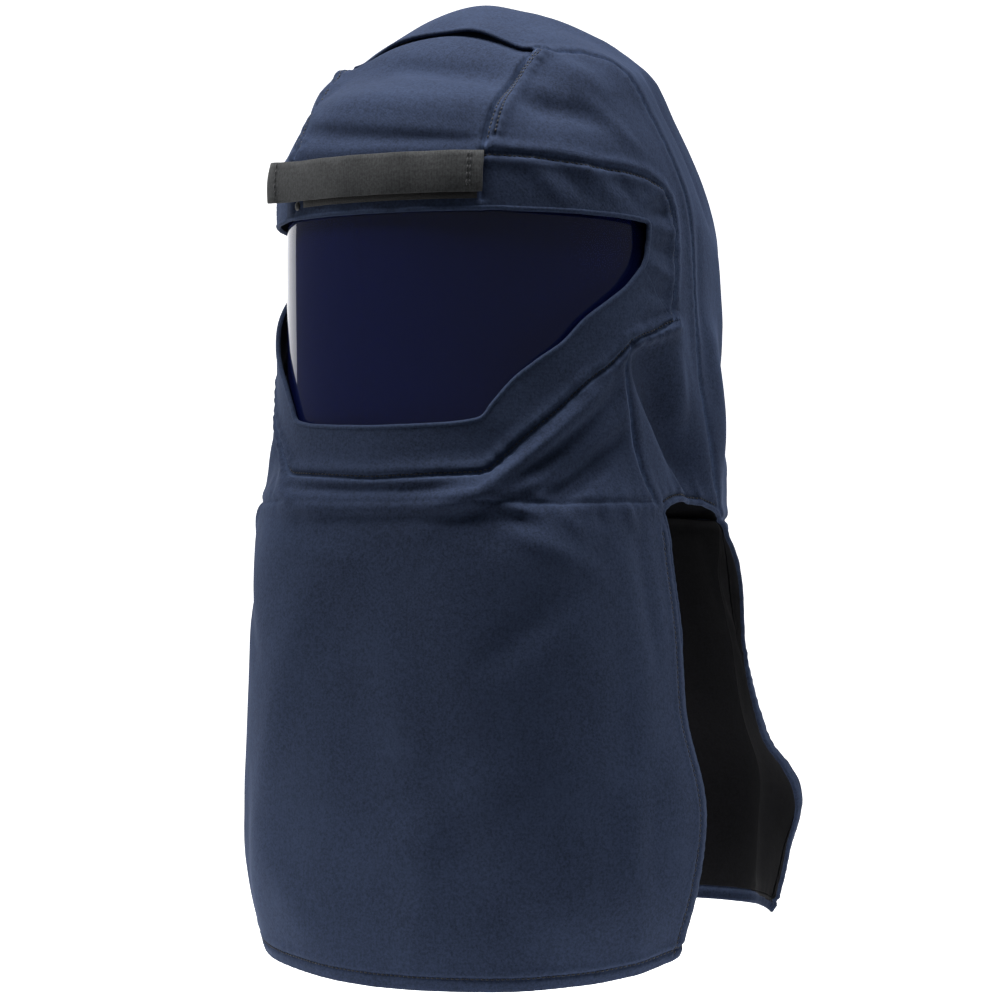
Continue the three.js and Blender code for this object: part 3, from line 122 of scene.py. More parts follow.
# Sharp creases and puckers, in degrees and millimetres: from angle and drop, to angle and drop, half
# width, height, and 1 if on both sides
CREASES = [
    (-12, 50, 46, 67, 7, -1.6, 0), (-8, 60, 30, 74, 6, 1.2, 0), (-30, 92, 32, 111, 6, 1.4, 0),
    (40, 64, 58, 80, 8, 1.4, 1), (46, 84, 70, 98, 9, -2.0, 1), (60, 70, 84, 120, 7, 1.2, 1),
    (43, 129, 53, 154, 5.5, 2.2, 1), (51, 128, 60, 151, 5, -2.2, 1), (59, 129, 69, 152, 5.5, 2.2, 1),
    (69, 132, 77, 153, 4.5, -1.9, 1), (82, 152, 90, 141, 4, 2.4, 1), (84, 160, 93, 158, 4, -2.4, 1),
    (84, 168, 94, 172, 4, 2.2, 1), (83, 184, 93, 186, 4.5, -2.2, 1), (83, 196, 93, 204, 4.5, 2.2, 1),
    (81, 214, 91, 218, 4, -1.8, 1), (78, 238, 96, 226, 4, -2.2, 1), (80, 246, 98, 238, 5, 2.0, 1),
    (77, 262, 91, 302, 12, -2.0, 1), (90, 296, 104, 334, 11, -1.8, 1), (96, 276, 110, 342, 12, 1.2, 1),
    (84, 272, 107, 346, 19, -4.2, 1), (90, 236, 100, 296, 10, 1.8, 1), (120, 254, 121, 348, 20, 8, 1),
    (100, 262, 108, 330, 7, -1.4, 1), (96, 240, 102, 300, 8, 1.2, 1), (96, 340, 99, 358, 3, 1.2, 1),
    (104, 344, 106, 360, 3, -1.2, 1), (110, 346, 112, 364, 3, 1.2, 1), (34, 352, 66, 281, 4, 1.6, 0),
    (38, 354, 70, 288, 4.5, -2.0, 0), (44, 352, 72, 304, 5, 1.7, 0), (48, 356, 71, 322, 5, -1.6, 0),
    (30, 350, 50, 310, 4, -1.0, 0), (-34, 350, -52, 300, 5, 1.0, 0), (-38, 354, -54, 312, 5, -1.0, 0),
    (-30, 352, 30, 353, 4, -1.4, 0), (-24, 375, 40, 372, 6, -2.2, 0), (30, 368, 50, 352, 5, -1.8, 0),
    (46, 357, 60, 334, 4, 2.4, 0), (52, 360, 66, 338, 3.5, -1.8, 0), (38, 364, 46, 372, 4, 1.4, 0),
    (50, 366, 55, 380, 4, 1.2, 1), (60, 365, 62, 378, 4, -1.0, 1), (70, 364, 74, 382, 5, 1.2, 1),
    (-72, 372, -66, 470, 7, -1.2, 0), (74, 380, 78, 470, 9, -1.4, 1), (-20, 420, -40, 560, 16, 1.2, 0),
    (10, 430, 26, 600, 18, -1.2, 0), (44, 470, 56, 640, 16, 1.2, 0), (-52, 560, -58, 680, 14, -1.4, 0),
    (20, 560, 12, 690, 16, 1.0, 0), (66, 560, 72, 690, 12, 1.6, 1), (-66, 384, -72, 520, 8, 1.4, 0),
    (-62, 390, -44, 470, 11, -1.5, 0), (62, 398, 34, 470, 12, -1.6, 0), (74, 470, 64, 640, 13, 1.5, 0),
    (-12, 400, 16, 520, 22, 1.4, 0), (16, 570, 52, 690, 20, -1.6, 0), (-44, 600, -12, 690, 22, 1.5, 0),
    (0, 620, 40, 545, 17, 1.2, 0), (-40, 386, -8, 402, 8, 1.1, 0), (38, 382, 60, 410, 7, 1.3, 0),
    (104, 12, 112, 40, 14, 3.0, 1), (114, 34, 124, 56, 9, 1.4, 1), (-50, 32, -76, 64, 12, -7, 0),
    (-56, 316, -60, 350, 14, 3.6, 0), (114, 60, 128, 150, 9, -2.6, 1), (126, 50, 144, 170, 12, 2.4, 1),
    (112, 170, 115, 290, 7, -1.4, 1), (134, 180, 140, 330, 14, 1.8, 1), (160, 60, 168, 220, 18, -2.0, 1),
    (134, 310, 150, 372, 7, -2.4, 1), (134, 318, 160, 376, 6, 1.8, 1), (150, 350, 176, 372, 7, -1.8, 1),
    (126, 380, 134, 440, 7, -2.0, 1), (140, 380, 143, 470, 7, 1.6, 1), (156, 380, 153, 450, 8, -1.8, 1),
    (172, 380, 170, 470, 9, 1.4, 1), (130, 470, 140, 640, 12, -3.0, 1), (148, 500, 158, 660, 12, 2.2, 1),
    (174, 500, 176, 660, 14, -2.2, 1), (136, 400, 128, 520, 9, 2.2, 1), (141, 420, 139, 660, 24, -9, 1),
    (139, 384, 141, 440, 18, -5, 1), (123, 388, 125, 470, 15, 7, 1), (127, 440, 125, 560, 14, 0.6, 1),
    (124, 560, 126, 670, 15, 4.5, 1),
]
# Places where the vent flap gapes: across in shares of the half panel, width, share of the gape
VENT_GAPES = [(0.45, 0.28, 1), (-0.5, 0.3, 0.6)]


def millimetres(name, description, value):
    return bpy.props.FloatProperty(name=name, description=description, default=value)


class HoodSizes(bpy.types.PropertyGroup):
    """Sizes of the hood, in millimetres."""

    length: millimetres("Length", "Crown top to the chest hem", 696)
    half_width: millimetres("Half width", "Axis to the head part's side", 150)
    front_depth: millimetres("Front depth", "Axis to the brow", 147)
    back_depth: millimetres("Back depth", "Axis to the back", 226)
    wall: millimetres("Cloth", "Thickness of the quilted cloth", 3)
    crown_half: millimetres("Crown panel", "Axis to each crown seam", 78)
    vent_ahead: millimetres("Vent", "Axis to the vent slit", 57)
    window_top: millimetres("Window top", "Drop of the brow edge", 161)
    window_side: millimetres("Window side", "Height of its side edges", 37)
    window_sill: millimetres("Window sill", "Drop of the sill", 309)
    facing: millimetres("Facing", "Width round the window", 36)
    yoke_seam: millimetres("Yoke seam", "Drop of the yoke seam", 362)
    slit_front: millimetres("Slit, front", "Drop of its corner", 370)
    back_seam: millimetres("Back seam", "Drop of the back seam", 376)
    flap_length: millimetres("Flap", "Drop of the flap's hem", 667)
    hem_rise: millimetres("Hem rise", "Rise at the bib's corners", 17)
    hem_tilt: millimetres("Hem tilt", "Further rise at the right corner", 12)
    strap_width: millimetres("Strap", "Width of the brow strap", 27.5)
    strap_top: millimetres("Strap top", "Drop of its upper edge", 122.5)
    shield_wall: millimetres("Shield", "Thickness of the sheet", 1.5)


def colour_property(name, description, code):
    return bpy.props.FloatVectorProperty(
        name=name, description=description, subtype="COLOR", size=3, min=0, max=1, default=linear(code)
    )


def linear(code):
    """Linear colour of an sRGB hex code."""
    values = [int(code[i:i + 2], 16) / 255 for i in (1, 3, 5)]
    return tuple(v / 12.92 if v <= 0.04045 else ((v + 0.055) / 1.055) ** 2.4 for v in values)


class HoodColours(bpy.types.PropertyGroup):
    """Colours of the hood's materials."""

    twill: colour_property("Twill", "Face of the quilted cloth", "#232c40")
    # Paler twill along seams, edges and binding crests: partly wear, partly painted highlight
    twill_worn_and_lit: colour_property("Twill, worn and lit", "Cloth along seams and edges", "#455473")
    lining: colour_property("Lining", "Cloth inside the bib and the flap", "#0e0e11")
    inner: colour_property("Inside", "Cloth inside the head part", "#0e0f14")
    webbing: colour_property("Webbing", "Brow strap", "#2d2e2f")
    # Near-black hook tape: black nylon, darkened further as painted shade under the strap
    hooks: colour_property("Hook tape", "Tape under the strap", "#0b0a0a")
    thread: colour_property("Thread", "Sewing thread", "#0a0d16")
    shield: colour_property("Shield", "Tint of the sheet", "#1d2768")
    stud: colour_property("Stud", "Moulded plastic", "#17181b")


# Pattern work. A pattern point lies at an angle round from the front and a distance down the side.

def polar(angle, station):
    angle, station = np.broadcast_arrays(angle, station)
    return np.stack([station * np.sin(angle), station * np.cos(angle)], axis=-1)


def angle_of(p):
    return np.arctan2(p[..., 0], p[..., 1])


def station_of(p):
    return np.hypot(p[..., 0], p[..., 1])


def mix_polar(a, b, u):
    u = np.asarray(u)
    angle = angle_of(a) * (1 - u) + angle_of(b) * u
    return polar(angle, station_of(a) * (1 - u) + station_of(b) * u)


def mirrored(points):
    return points * np.array([-1, 1])


def both_sides(line):
    return [line, mirrored(line)]


def mirror_grid(grid):
    return mirrored(grid)[:, ::-1]


def smoothstep(value, low, high):
    u = np.clip((value - low) / (high - low), 0, 1)
    return u * u * (3 - 2 * u)


def densify(points, steps):
    """Smooth curve through points, with that many steps between two of them."""
    p = np.asarray(points, float)
    before = np.concatenate([p[:1], p[:-1]])
    after = np.concatenate([p[1:], p[-1:]])
    slope = (after - before) / 2
    u = (np.arange(steps) / steps)[:, None]
    runs = []
    for i in range(len(p) - 1):
        runs.append(
            p[i] * (2 * u**3 - 3 * u**2 + 1) + slope[i] * (u**3 - 2 * u**2 + u)
            + p[i + 1] * (3 * u**2 - 2 * u**3) + slope[i + 1] * (u**3 - u**2)
        )
    return np.concatenate(runs + [p[-1:]])


def smooth_between(x, xs, ys):
    """Value at x of a smooth curve through the points of a table."""
    xs, ys = np.asarray(xs, float), np.asarray(ys, float)
    x = np.clip(x, xs[0], xs[-1])
    slope = np.gradient(ys, xs)
    i = np.clip(np.searchsorted(xs, x) - 1, 0, len(xs) - 2)
    step = xs[i + 1] - xs[i]
    u = (x - xs[i]) / step
    return (
        ys[i] * (2 * u**3 - 3 * u**2 + 1) + slope[i] * step * (u**3 - 2 * u**2 + u)
        + ys[i + 1] * (3 * u**2 - 2 * u**3) + slope[i + 1] * step * (u**3 - u**2)
    )


class Cloth:
    """The folded surface of the hood over its pattern."""

    def __init__(self, sizes):
        self.sizes = sizes
        table = np.array(SECTIONS, float)
        scale = [sizes.length, sizes.half_width, sizes.front_depth, sizes.back_depth, 1, 1]
        self.table = table * scale
        steps = np.hypot(np.diff(self.table[:, 0]), np.diff(self.table[:, 1]))
        self.stations = np.concatenate([[0], np.cumsum(steps)])
        self.slopes = np.array([self.column_slopes(c) for c in range(6)]).T
        self.fine = np.linspace(0, self.stations[-1], 4001)
        self.fine_drops = self.column(0, self.fine)
        self.cheek = sizes.window_sill - sizes.window_top - sizes.window_side
        self.facing_sill = sizes.window_sill + sizes.facing
        self.folds = self.measured(FOLDS, sizes.length, sizes.half_width)
        self.creases = self.measured(CREASES, 1, 1)
        self.lines = []

    def column_slopes(self, c):
        """Slopes of a column of the sections, steep only at the top of the crown."""
        values, stations = self.table[:, c], self.stations
        rise = np.diff(values) / np.diff(stations)
        slopes = np.empty(len(values))
        slopes[0] = rise[0] if c in (1, 2, 3) else 0
        slopes[-1] = rise[-1]
        above, below = np.diff(stations)[:-1], np.diff(stations)[1:]
        slopes[1:-1] = (rise[:-1] * below + rise[1:] * above) / (above + below)
        return slopes

    def measured(self, rows, down, size):
        """Rows of folds or creases as angles and stations, with sizes in millimetres."""
        found = []
        for start, drop, end, drop_to, wide, out, both in rows:
            for side in ([1, -1] if both else [1]):
                found.append((
                    side * math.radians(start), side * math.radians(end),
                    float(self.station_at(drop * down)), float(self.station_at(drop_to * down)),
                    wide * size, out * size,
                ))
        return found

    def column(self, c, station):
        """Value of a column of the sections at a station down the side."""
        i = np.clip(np.searchsorted(self.stations, station, side="left") - 1, 0, len(self.stations) - 2)
        step = self.stations[i + 1] - self.stations[i]
        u = (station - self.stations[i]) / step
        values, slopes = self.table[:, c], self.slopes[:, c]
        return (
            values[i] * (2 * u**3 - 3 * u**2 + 1) + slopes[i] * step * (u**3 - 2 * u**2 + u)
            + values[i + 1] * (3 * u**2 - 2 * u**3) + slopes[i + 1] * step * (u**3 - u**2)
        )

    def station_at(self, drop):
        return np.interp(drop, self.fine_drops, self.fine)

    def radius(self, angle, station):
        """Reach from the axis, on a section that may be squarer than an ellipse."""
        ahead = np.cos(angle) >= 0
        depth = np.where(ahead, self.column(2, station), self.column(3, station))
        square = np.where(ahead, self.column(4, station), self.column(5, station))
        across = np.abs(np.sin(angle)) / self.column(1, station)
        along = np.abs(np.cos(angle)) / depth
        return (across**square + along**square) ** (-1 / square)

    def point(self, degrees, drop):
        return polar(np.radians(degrees), self.station_at(drop))

    def from_plan(self, across, ahead):
        """Pattern point on the crown over a place that is given from above."""
        angle = math.atan2(across, ahead)
        reach = math.hypot(across, ahead)
        stations = self.fine[(self.fine > 0.01) & (self.fine < self.station_at(self.sizes.window_top))]
        return polar(angle, np.interp(reach, self.radius(angle, stations), stations))

    def at_across(self, across, drop):
        """Pattern point on the front half at a distance from the middle."""
        station = float(self.station_at(drop))
        angles = np.linspace(0.001, math.pi / 2, 800)
        reach = self.radius(angles, np.full(800, station)) * np.sin(angles)
        return polar(math.copysign(np.interp(abs(across), reach, angles), across), station)

    def smooth(self, p):
        """Places on the hood's form before it is folded."""
        station = np.maximum(station_of(p), 1e-3)
        angle = angle_of(p)
        radius = self.radius(angle, station)
        drop = self.column(0, station)
        return np.stack([
            radius * np.sin(angle), -radius * np.cos(angle), self.sizes.wall - drop,
        ], axis=-1)

    def lower_facing_drop(self, degrees):
        rows = sorted((row[2], row[3]) for row in LOWER_FACING)
        rise = np.interp(degrees, [row[0] for row in rows], [row[1] for row in rows])
        return self.facing_sill - rise * self.cheek

    def smoothness(self, angle, station, free=92):
        """1 where the cloth folds freely, 0 round the window, where the shield holds it."""
        sizes = self.sizes
        drop = self.column(0, station)
        degrees = np.degrees(np.abs(angle))
        around = smoothstep(degrees, free, free + 10)
        above = smoothstep(sizes.window_top - drop, sizes.facing + 2, sizes.facing + 14)
        below = smoothstep(drop - self.lower_facing_drop(degrees), 0, 12)
        return np.maximum(np.maximum(around, above), below)

    def bells(self, rows, angle, station):
        """Height of rounded ridges and valleys along straight runs of the pattern."""
        girth = self.column(1, station)
        total = np.zeros_like(angle)
        for start, end, top, bottom, wide, out in rows:
            away = np.arctan2(np.sin(angle - start), np.cos(angle - start))
            x, y = away * girth, station - top
            run_x, run_y = (end - start) * girth, bottom - top
            run = np.hypot(run_x, run_y)
            along = (x * run_x + y * run_y) / run**2
            across = (x * run_y - y * run_x) / run
            nearest = np.clip(along, 0, 1)
            past = (along - nearest) * run
            taper = np.sin(np.pi * (0.18 + 0.64 * nearest))
            total += out * taper * np.exp(-(across**2 + past**2) / wide**2)
        return total

    def folded(self, p):
        """Places on the form with its broad folds, as the solids have them."""
        station, angle = np.maximum(station_of(p), 1e-3), angle_of(p)
        out = self.bells(self.folds, angle, station) * self.smoothness(angle, station)
        return self.smooth(p) + self.normal(p, self.smooth) * out[..., None]

    def normal(self, p, surface, reach=1.5):
        dx, dy = np.array([reach, 0]), np.array([0, reach])
        across = surface(p + dx) - surface(p - dx)
        down = surface(p - dy) - surface(p + dy)
        normal = np.cross(across, down)
        return normal / np.linalg.norm(normal, axis=-1, keepdims=True)

    def add_line(
        self, points, groove=1.2, groove_wide=2.2, puff=0.7, puff_wide=9, pucker=0.35, pitch=9, wear=0.6
    ):
        """A seam or row of stitches that draws the cloth in, puckers it and pales it: wear and painted
        highlight.
        """
        path = self.folded(densify(points, 4))
        lengths = np.concatenate([[0], np.cumsum(np.linalg.norm(np.diff(path, axis=0), axis=1))])
        even = np.arange(0, lengths[-1], 1.2)
        samples = np.stack([np.interp(even, lengths, path[:, k]) for k in range(3)], axis=1)
        self.lines.append((samples, even, groove, groove_wide, puff, puff_wide, pucker, pitch, wear))

    def drawn(self, places):
        """Height, and paleness that is partly wear and partly painted highlight, that the seams and stitches
        give the cloth at places in millimetres.
        """
        flat = places.reshape(-1, 3)
        height, wear = np.zeros(len(flat)), np.zeros(len(flat))
        reach = 26
        for number, line in enumerate(self.lines):
            samples, even, groove, groove_wide, puff, puff_wide, pucker, pitch, worn_and_lit = line
            low, high = samples.min(axis=0) - reach, samples.max(axis=0) + reach
            near = np.nonzero(np.all((flat > low) & (flat < high), axis=1))[0]
            for start in range(0, len(near), 1500):
                part = near[start:start + 1500]
                gaps = flat[part][:, None, :] - samples[None]
                squares = np.einsum("ijk,ijk->ij", gaps, gaps)
                best = squares.argmin(axis=1)
                away = np.sqrt(squares[np.arange(len(part)), best])
                along = even[best]
                uneven = 0.6 * np.sin(along / 23 + number) + 0.3 * np.sin(along / 9.7 + 2 * number)
                swell = 0.65 + 0.35 * np.sin(along / 31 + 3 * number)
                ripple = np.sin(2 * np.pi * (along / pitch + uneven)) * swell
                height[part] += (
                    -groove * np.exp(-(away / groove_wide) ** 2)
                    + puff * np.exp(-((away - puff_wide * 0.6) / (puff_wide * 0.55)) ** 2)
                    + pucker * ripple * np.exp(-((away - 4) / 6) ** 2)
                )
                # Pale line about a millimetre beside the seam: partly real wear, partly painted highlight on
                # the seam's edge
                wear[part] += worn_and_lit * np.exp(-((away - 1.1) / 0.9) ** 2) * (0.75 + 0.25 * ripple)
        return height.reshape(places.shape[:-1]), np.clip(wear, 0, 1).reshape(places.shape[:-1])

    def dressed(self, p, lift=None):
        """Places on the outer face of the cloth with its creases, their normals and their paleness, which is
        wear and painted highlight.
        """
        station, angle = np.maximum(station_of(p), 1e-3), angle_of(p)
        base = self.folded(p)
        normal = self.normal(p, self.folded)
        soft = 0.5 + 0.5 * self.smoothness(angle, station, 86)
        out = 1.5 * self.bells(self.creases, angle, station) * soft
        x, y, z = np.moveaxis(base, -1, 0)
        wave = np.sin(x / 17 + 2 * np.sin(z / 41)) * np.sin(z / 23 + y / 19)
        out = out + 0.45 * wave * soft
        seamed, wear = self.drawn(base)
        out = out + seamed
        if lift is not None:
            out = out + lift(p)
        return base + normal * out[..., None], normal, wear


def bunched(grid, rows=(0, 0), columns=(0, 0), times=4):
    """Grid with its first and last cells split, where seams and stitches need a finer mesh."""
    for axis, (first, last) in enumerate((rows, columns)):
        count = grid.shape[axis]
        at = np.concatenate([
            np.arange(first * times) / times, np.arange(first, count - 1 - last),
            count - 1 - last + np.arange(last * times + 1) / times,
        ])
        low = np.minimum(at.astype(int), count - 2)
        share = (at - low).reshape((-1, 1, 1) if axis == 0 else (1, -1, 1))
        grid = np.take(grid, low, axis) * (1 - share) + np.take(grid, low + 1, axis) * share
    return grid


def inset(cloth, grid, distance):
    """Line of pattern points at a distance in millimetres from a grid's first row."""
    places = cloth.smooth(grid)
    steps = np.linalg.norm(np.diff(places, axis=0), axis=-1)
    lengths = np.concatenate([np.zeros((1, steps.shape[1])), np.cumsum(steps, axis=0)])
    line = np.empty((grid.shape[1], 2))
    for k in range(grid.shape[1]):
        for axis in (0, 1):
            line[k, axis] = np.interp(distance, lengths[:, k], grid[:, k, axis])
    return line


class Pattern:
    """Seam lines and fine grids of pattern points for each panel."""

    def __init__(self, cloth):
        self.cloth = cloth
        sizes = cloth.sizes
        self.vent_corner = cloth.from_plan(sizes.crown_half, sizes.vent_ahead)
        vent_drop = float(cloth.column(0, station_of(self.vent_corner)))
        band_drop = sizes.window_top - sizes.facing * 1.05
        self.crown_seam = self.down_crown(vent_drop, band_drop, CROWN_STEPS)
        self.band_seam = self.down_crown(band_drop, sizes.window_top, BAND_STEPS)
        lower_window, lower_edge = (
            np.array([cloth.point(row[i], foot - row[i + 1] * cloth.cheek) for row in LOWER_FACING])
            for i, foot in ((0, sizes.window_sill), (2, cloth.facing_sill))
        )
        upper_window = [self.band_seam[-1]] + [
            cloth.point(a, sizes.window_top + f * sizes.window_side) for a, f, _, _ in UPPER_FACING
        ] + [lower_window[0]]
        upper_edge = [self.band_seam[0]] + [
            cloth.point(a, sizes.window_top - r * sizes.facing) for _, _, a, r in UPPER_FACING
        ] + [lower_edge[0]]
        self.upper_window = densify(upper_window, DETAIL)
        self.upper_edge = densify(upper_edge, DETAIL)
        self.lower_window, self.lower_edge = (
            densify(np.concatenate([half, mirrored(half)[::-1][1:]]), DETAIL)
            for half in (lower_window, lower_edge)
        )
        yoke_end = cloth.point(YOKE_ANGLE, sizes.yoke_seam)
        corner = lower_edge[SEAM_CORNER]
        side = [corner] + [cloth.point(a, s * sizes.length) for a, s in SIDE_SEAM] + [yoke_end]
        self.side_seam = densify(side, DETAIL)
        self.slit_front = cloth.point(SLIT_FRONT_ANGLE, sizes.slit_front)
        self.slit_back = cloth.point(SLIT_BACK_ANGLE, sizes.back_seam)
        to_slit = yoke_end + (self.slit_front - yoke_end) * (np.arange(1, DETAIL + 1) / DETAIL)[:, None]
        self.side_front = np.concatenate([
            self.crown_seam, self.upper_edge[1:], self.lower_edge[1:SEAM_CORNER * DETAIL + 1],
            self.side_seam[1:], to_slit,
        ])
        plan = [cloth.from_plan(a * sizes.half_width, f * sizes.back_depth) for a, f in REAR_PLAN]
        down = [cloth.point(a, s * sizes.length) for a, s in REAR_DOWN]
        path = densify(plan + down + [self.slit_back], 40)
        lengths = np.concatenate([[0], np.cumsum(np.linalg.norm(np.diff(path, axis=0), axis=1))])
        temple = next(i for i, row in enumerate(UPPER_FACING) if row[2] > 92) + 1
        rows = (CROWN_STEPS, temple, len(upper_edge) - 1 - temple, SEAM_CORNER + len(SIDE_SEAM) + 1, 1)
        shares = [0]
        for count, share in zip(rows, (*REAR_SHARES, 1)):
            start = shares[-1]
            shares += [start + (share - start) * k / count for k in range(1, count + 1)]
        last = len(shares) - 1
        self.rear_shares = np.interp(np.linspace(0, last, last * DETAIL + 1), np.arange(last + 1), shares)
        at = self.rear_shares * lengths[-1]
        self.rear_seam = np.stack([np.interp(at, lengths, path[:, k]) for k in (0, 1)], axis=1)

    def down_crown(self, start, end, steps):
        """Crown seam between two drops, straight as seen from the front."""
        drops = np.linspace(start, end, steps * DETAIL + 1)
        return np.array([self.cloth.at_across(self.cloth.sizes.crown_half, d) for d in drops])

    def across(self, edges, middles, columns, turns):
        """Grid over the crown from edge to edge, bowed so that its rows meet the edges at even turns."""
        u = np.linspace(-1, 1, columns * DETAIL + 1)[None]
        turns = np.asarray(turns)[:, None]
        x = edges[:, :1] * np.sin(u * turns) / np.sin(turns)
        bow = (1 - np.cos(u * turns)) / (1 - np.cos(turns))
        middles = np.asarray(middles)[:, None]
        return np.stack([x, middles + (edges[:, 1:] - middles) * bow], axis=-1)

    def vent_middle(self):
        return float(self.cloth.from_plan(0, self.cloth.sizes.vent_ahead - 3)[1])

    def crown_front(self):
        cloth, lap = self.cloth, 12
        lap_corner = cloth.from_plan(cloth.sizes.crown_half, cloth.sizes.vent_ahead - lap)
        u = (np.arange(DETAIL) / DETAIL)[:, None]
        start = lap_corner * (1 - u) + self.vent_corner * u
        edges = np.concatenate([start, self.crown_seam, self.band_seam[1:]])
        first, last = station_of(self.vent_corner), station_of(edges[-1])
        share = np.clip((station_of(edges) - first) / (last - first), 0, 1)
        middle = self.vent_middle()
        middles = middle + (float(cloth.station_at(cloth.sizes.window_top)) - middle) * share
        middles[:DETAIL] = middle - lap * (1 - u[:, 0])
        turn = np.full(len(edges), angle_of(edges[-1]))
        return self.across(edges, middles, 12, turn)

    def crown_back(self):
        u = (np.arange(DETAIL) / DETAIL)[:, None]
        start = mix_polar(self.vent_corner[None], self.rear_seam[:1], u[:, 0])
        edges = np.concatenate([start, self.rear_seam])
        shares = np.concatenate([np.zeros(DETAIL), self.rear_shares])
        even = np.linspace(0, 1, len(edges))
        top, bottom = self.vent_middle(), -float(self.cloth.station_at(self.cloth.sizes.back_seam))
        middles = top + (bottom - top) * (even + shares) / 2
        low = math.pi - float(angle_of(self.slit_back))
        turns = np.maximum(low, np.minimum(np.pi - angle_of(edges), math.radians(66)))
        return self.across(edges, middles, BACK_STEPS, turns)

    def side(self):
        u = np.linspace(0, 1, SIDE_STEPS * DETAIL + 1)[None]
        grid = mix_polar(self.side_front[:, None], self.rear_seam[:, None], u)
        last = len(grid) - 1
        weight = np.clip(1 - (last - np.arange(len(grid))) / (7 * DETAIL), 0, 1)[:, None]
        rise = SLIT_ARCH * weight * (4 * u * (1 - u)) ** 0.6
        return grid * ((station_of(grid) - rise) / station_of(grid))[..., None]

    def strip(self, edge, window):
        u = np.linspace(0, 1, BAND_STEPS * DETAIL + 1)[:, None]
        return mix_polar(edge[None], window[None], u)

    def upper_facing(self):
        grid = self.strip(self.upper_edge, self.upper_window)
        fade = np.clip(1 - np.arange(grid.shape[1]) / DETAIL, 0, 1)[None, :, None]
        return grid + (self.band_seam - grid[:, 0])[:, None] * fade

    def lower_facing(self):
        return self.strip(self.lower_edge, self.lower_window)

    def bib_angles(self, drops, columns):
        """Angles across the bib from edge to edge, at each column's drop."""
        sizes = self.cloth.sizes
        table = [
            (YOKE_ANGLE, sizes.yoke_seam / sizes.length), (SLIT_FRONT_ANGLE, sizes.slit_front / sizes.length),
        ] + BIB_EDGE
        edge = smooth_between(drops / sizes.length, [row[1] for row in table], [row[0] for row in table])
        return edge * (1 - 2 * np.arange(columns + 1) / columns)

    def yoke(self):
        corner = SEAM_CORNER * DETAIL
        top = self.lower_edge[corner:-corner]
        columns = len(top) - 1
        drop = self.cloth.sizes.yoke_seam
        foot = self.cloth.point(self.bib_angles(np.full(columns + 1, drop), columns), drop)
        rows = len(self.side_seam)
        grid = mix_polar(top[None], foot[None], np.linspace(0, 1, rows)[:, None])
        fade = np.clip(1 - np.arange(columns + 1) / (3 * DETAIL), 0, 1) ** 2
        start = (self.side_seam - grid[:, 0])[:, None] * fade[None, :, None]
        end = (mirrored(self.side_seam) - grid[:, -1])[:, None] * fade[None, ::-1, None]
        return grid + start + end

    def bib(self):
        sizes = self.cloth.sizes
        columns = len(self.lower_edge) - 1 - 2 * SEAM_CORNER * DETAIL
        drops = np.concatenate([
            np.linspace(sizes.yoke_seam, sizes.slit_front, DETAIL + 1)[:-1],
            np.linspace(sizes.slit_front, sizes.length, (BIB_STEPS - 1) * DETAIL + 1),
        ])
        across = 1 - 2 * np.arange(columns + 1) / columns
        rise = sizes.hem_rise * across**4 + sizes.hem_tilt * np.clip(-across, 0, 1)
        rows = []
        for drop in drops:
            share = max(0, (drop - sizes.slit_front) / (sizes.length - sizes.slit_front))
            raised = drop - rise * share
            rows.append(self.cloth.point(self.bib_angles(raised, columns), raised))
        return np.array(rows)

    def flap(self):
        sizes = self.cloth.sizes
        table = [(SLIT_BACK_ANGLE, sizes.back_seam / sizes.length)] + FLAP_EDGE
        u = 1 - 2 * np.arange(BACK_STEPS * DETAIL + 1) / (BACK_STEPS * DETAIL)
        rows = []
        for share in np.linspace(0, 1, FLAP_STEPS * DETAIL + 1):
            fall = (sizes.flap_length - sizes.back_seam) * share
            drop = sizes.back_seam + fall - 5 * share * np.abs(u) ** 4
            edge = smooth_between(drop / sizes.length, [row[1] for row in table], [row[0] for row in table])
            rows.append(self.cloth.point(180 - u * (180 - edge), drop))
        return np.array(rows)


MADE = {}


def pattern():
    """The pattern and its cloth, worked out again only when a size has changed."""
    sizes = bpy.context.scene.hood_sizes
    values = [getattr(sizes, name) for name in HoodSizes.__annotations__]
    if MADE.get("sizes") != values:
        MADE["sizes"], MADE["pattern"] = values, lines_of(Pattern(Cloth(sizes)))
    return MADE["pattern"]


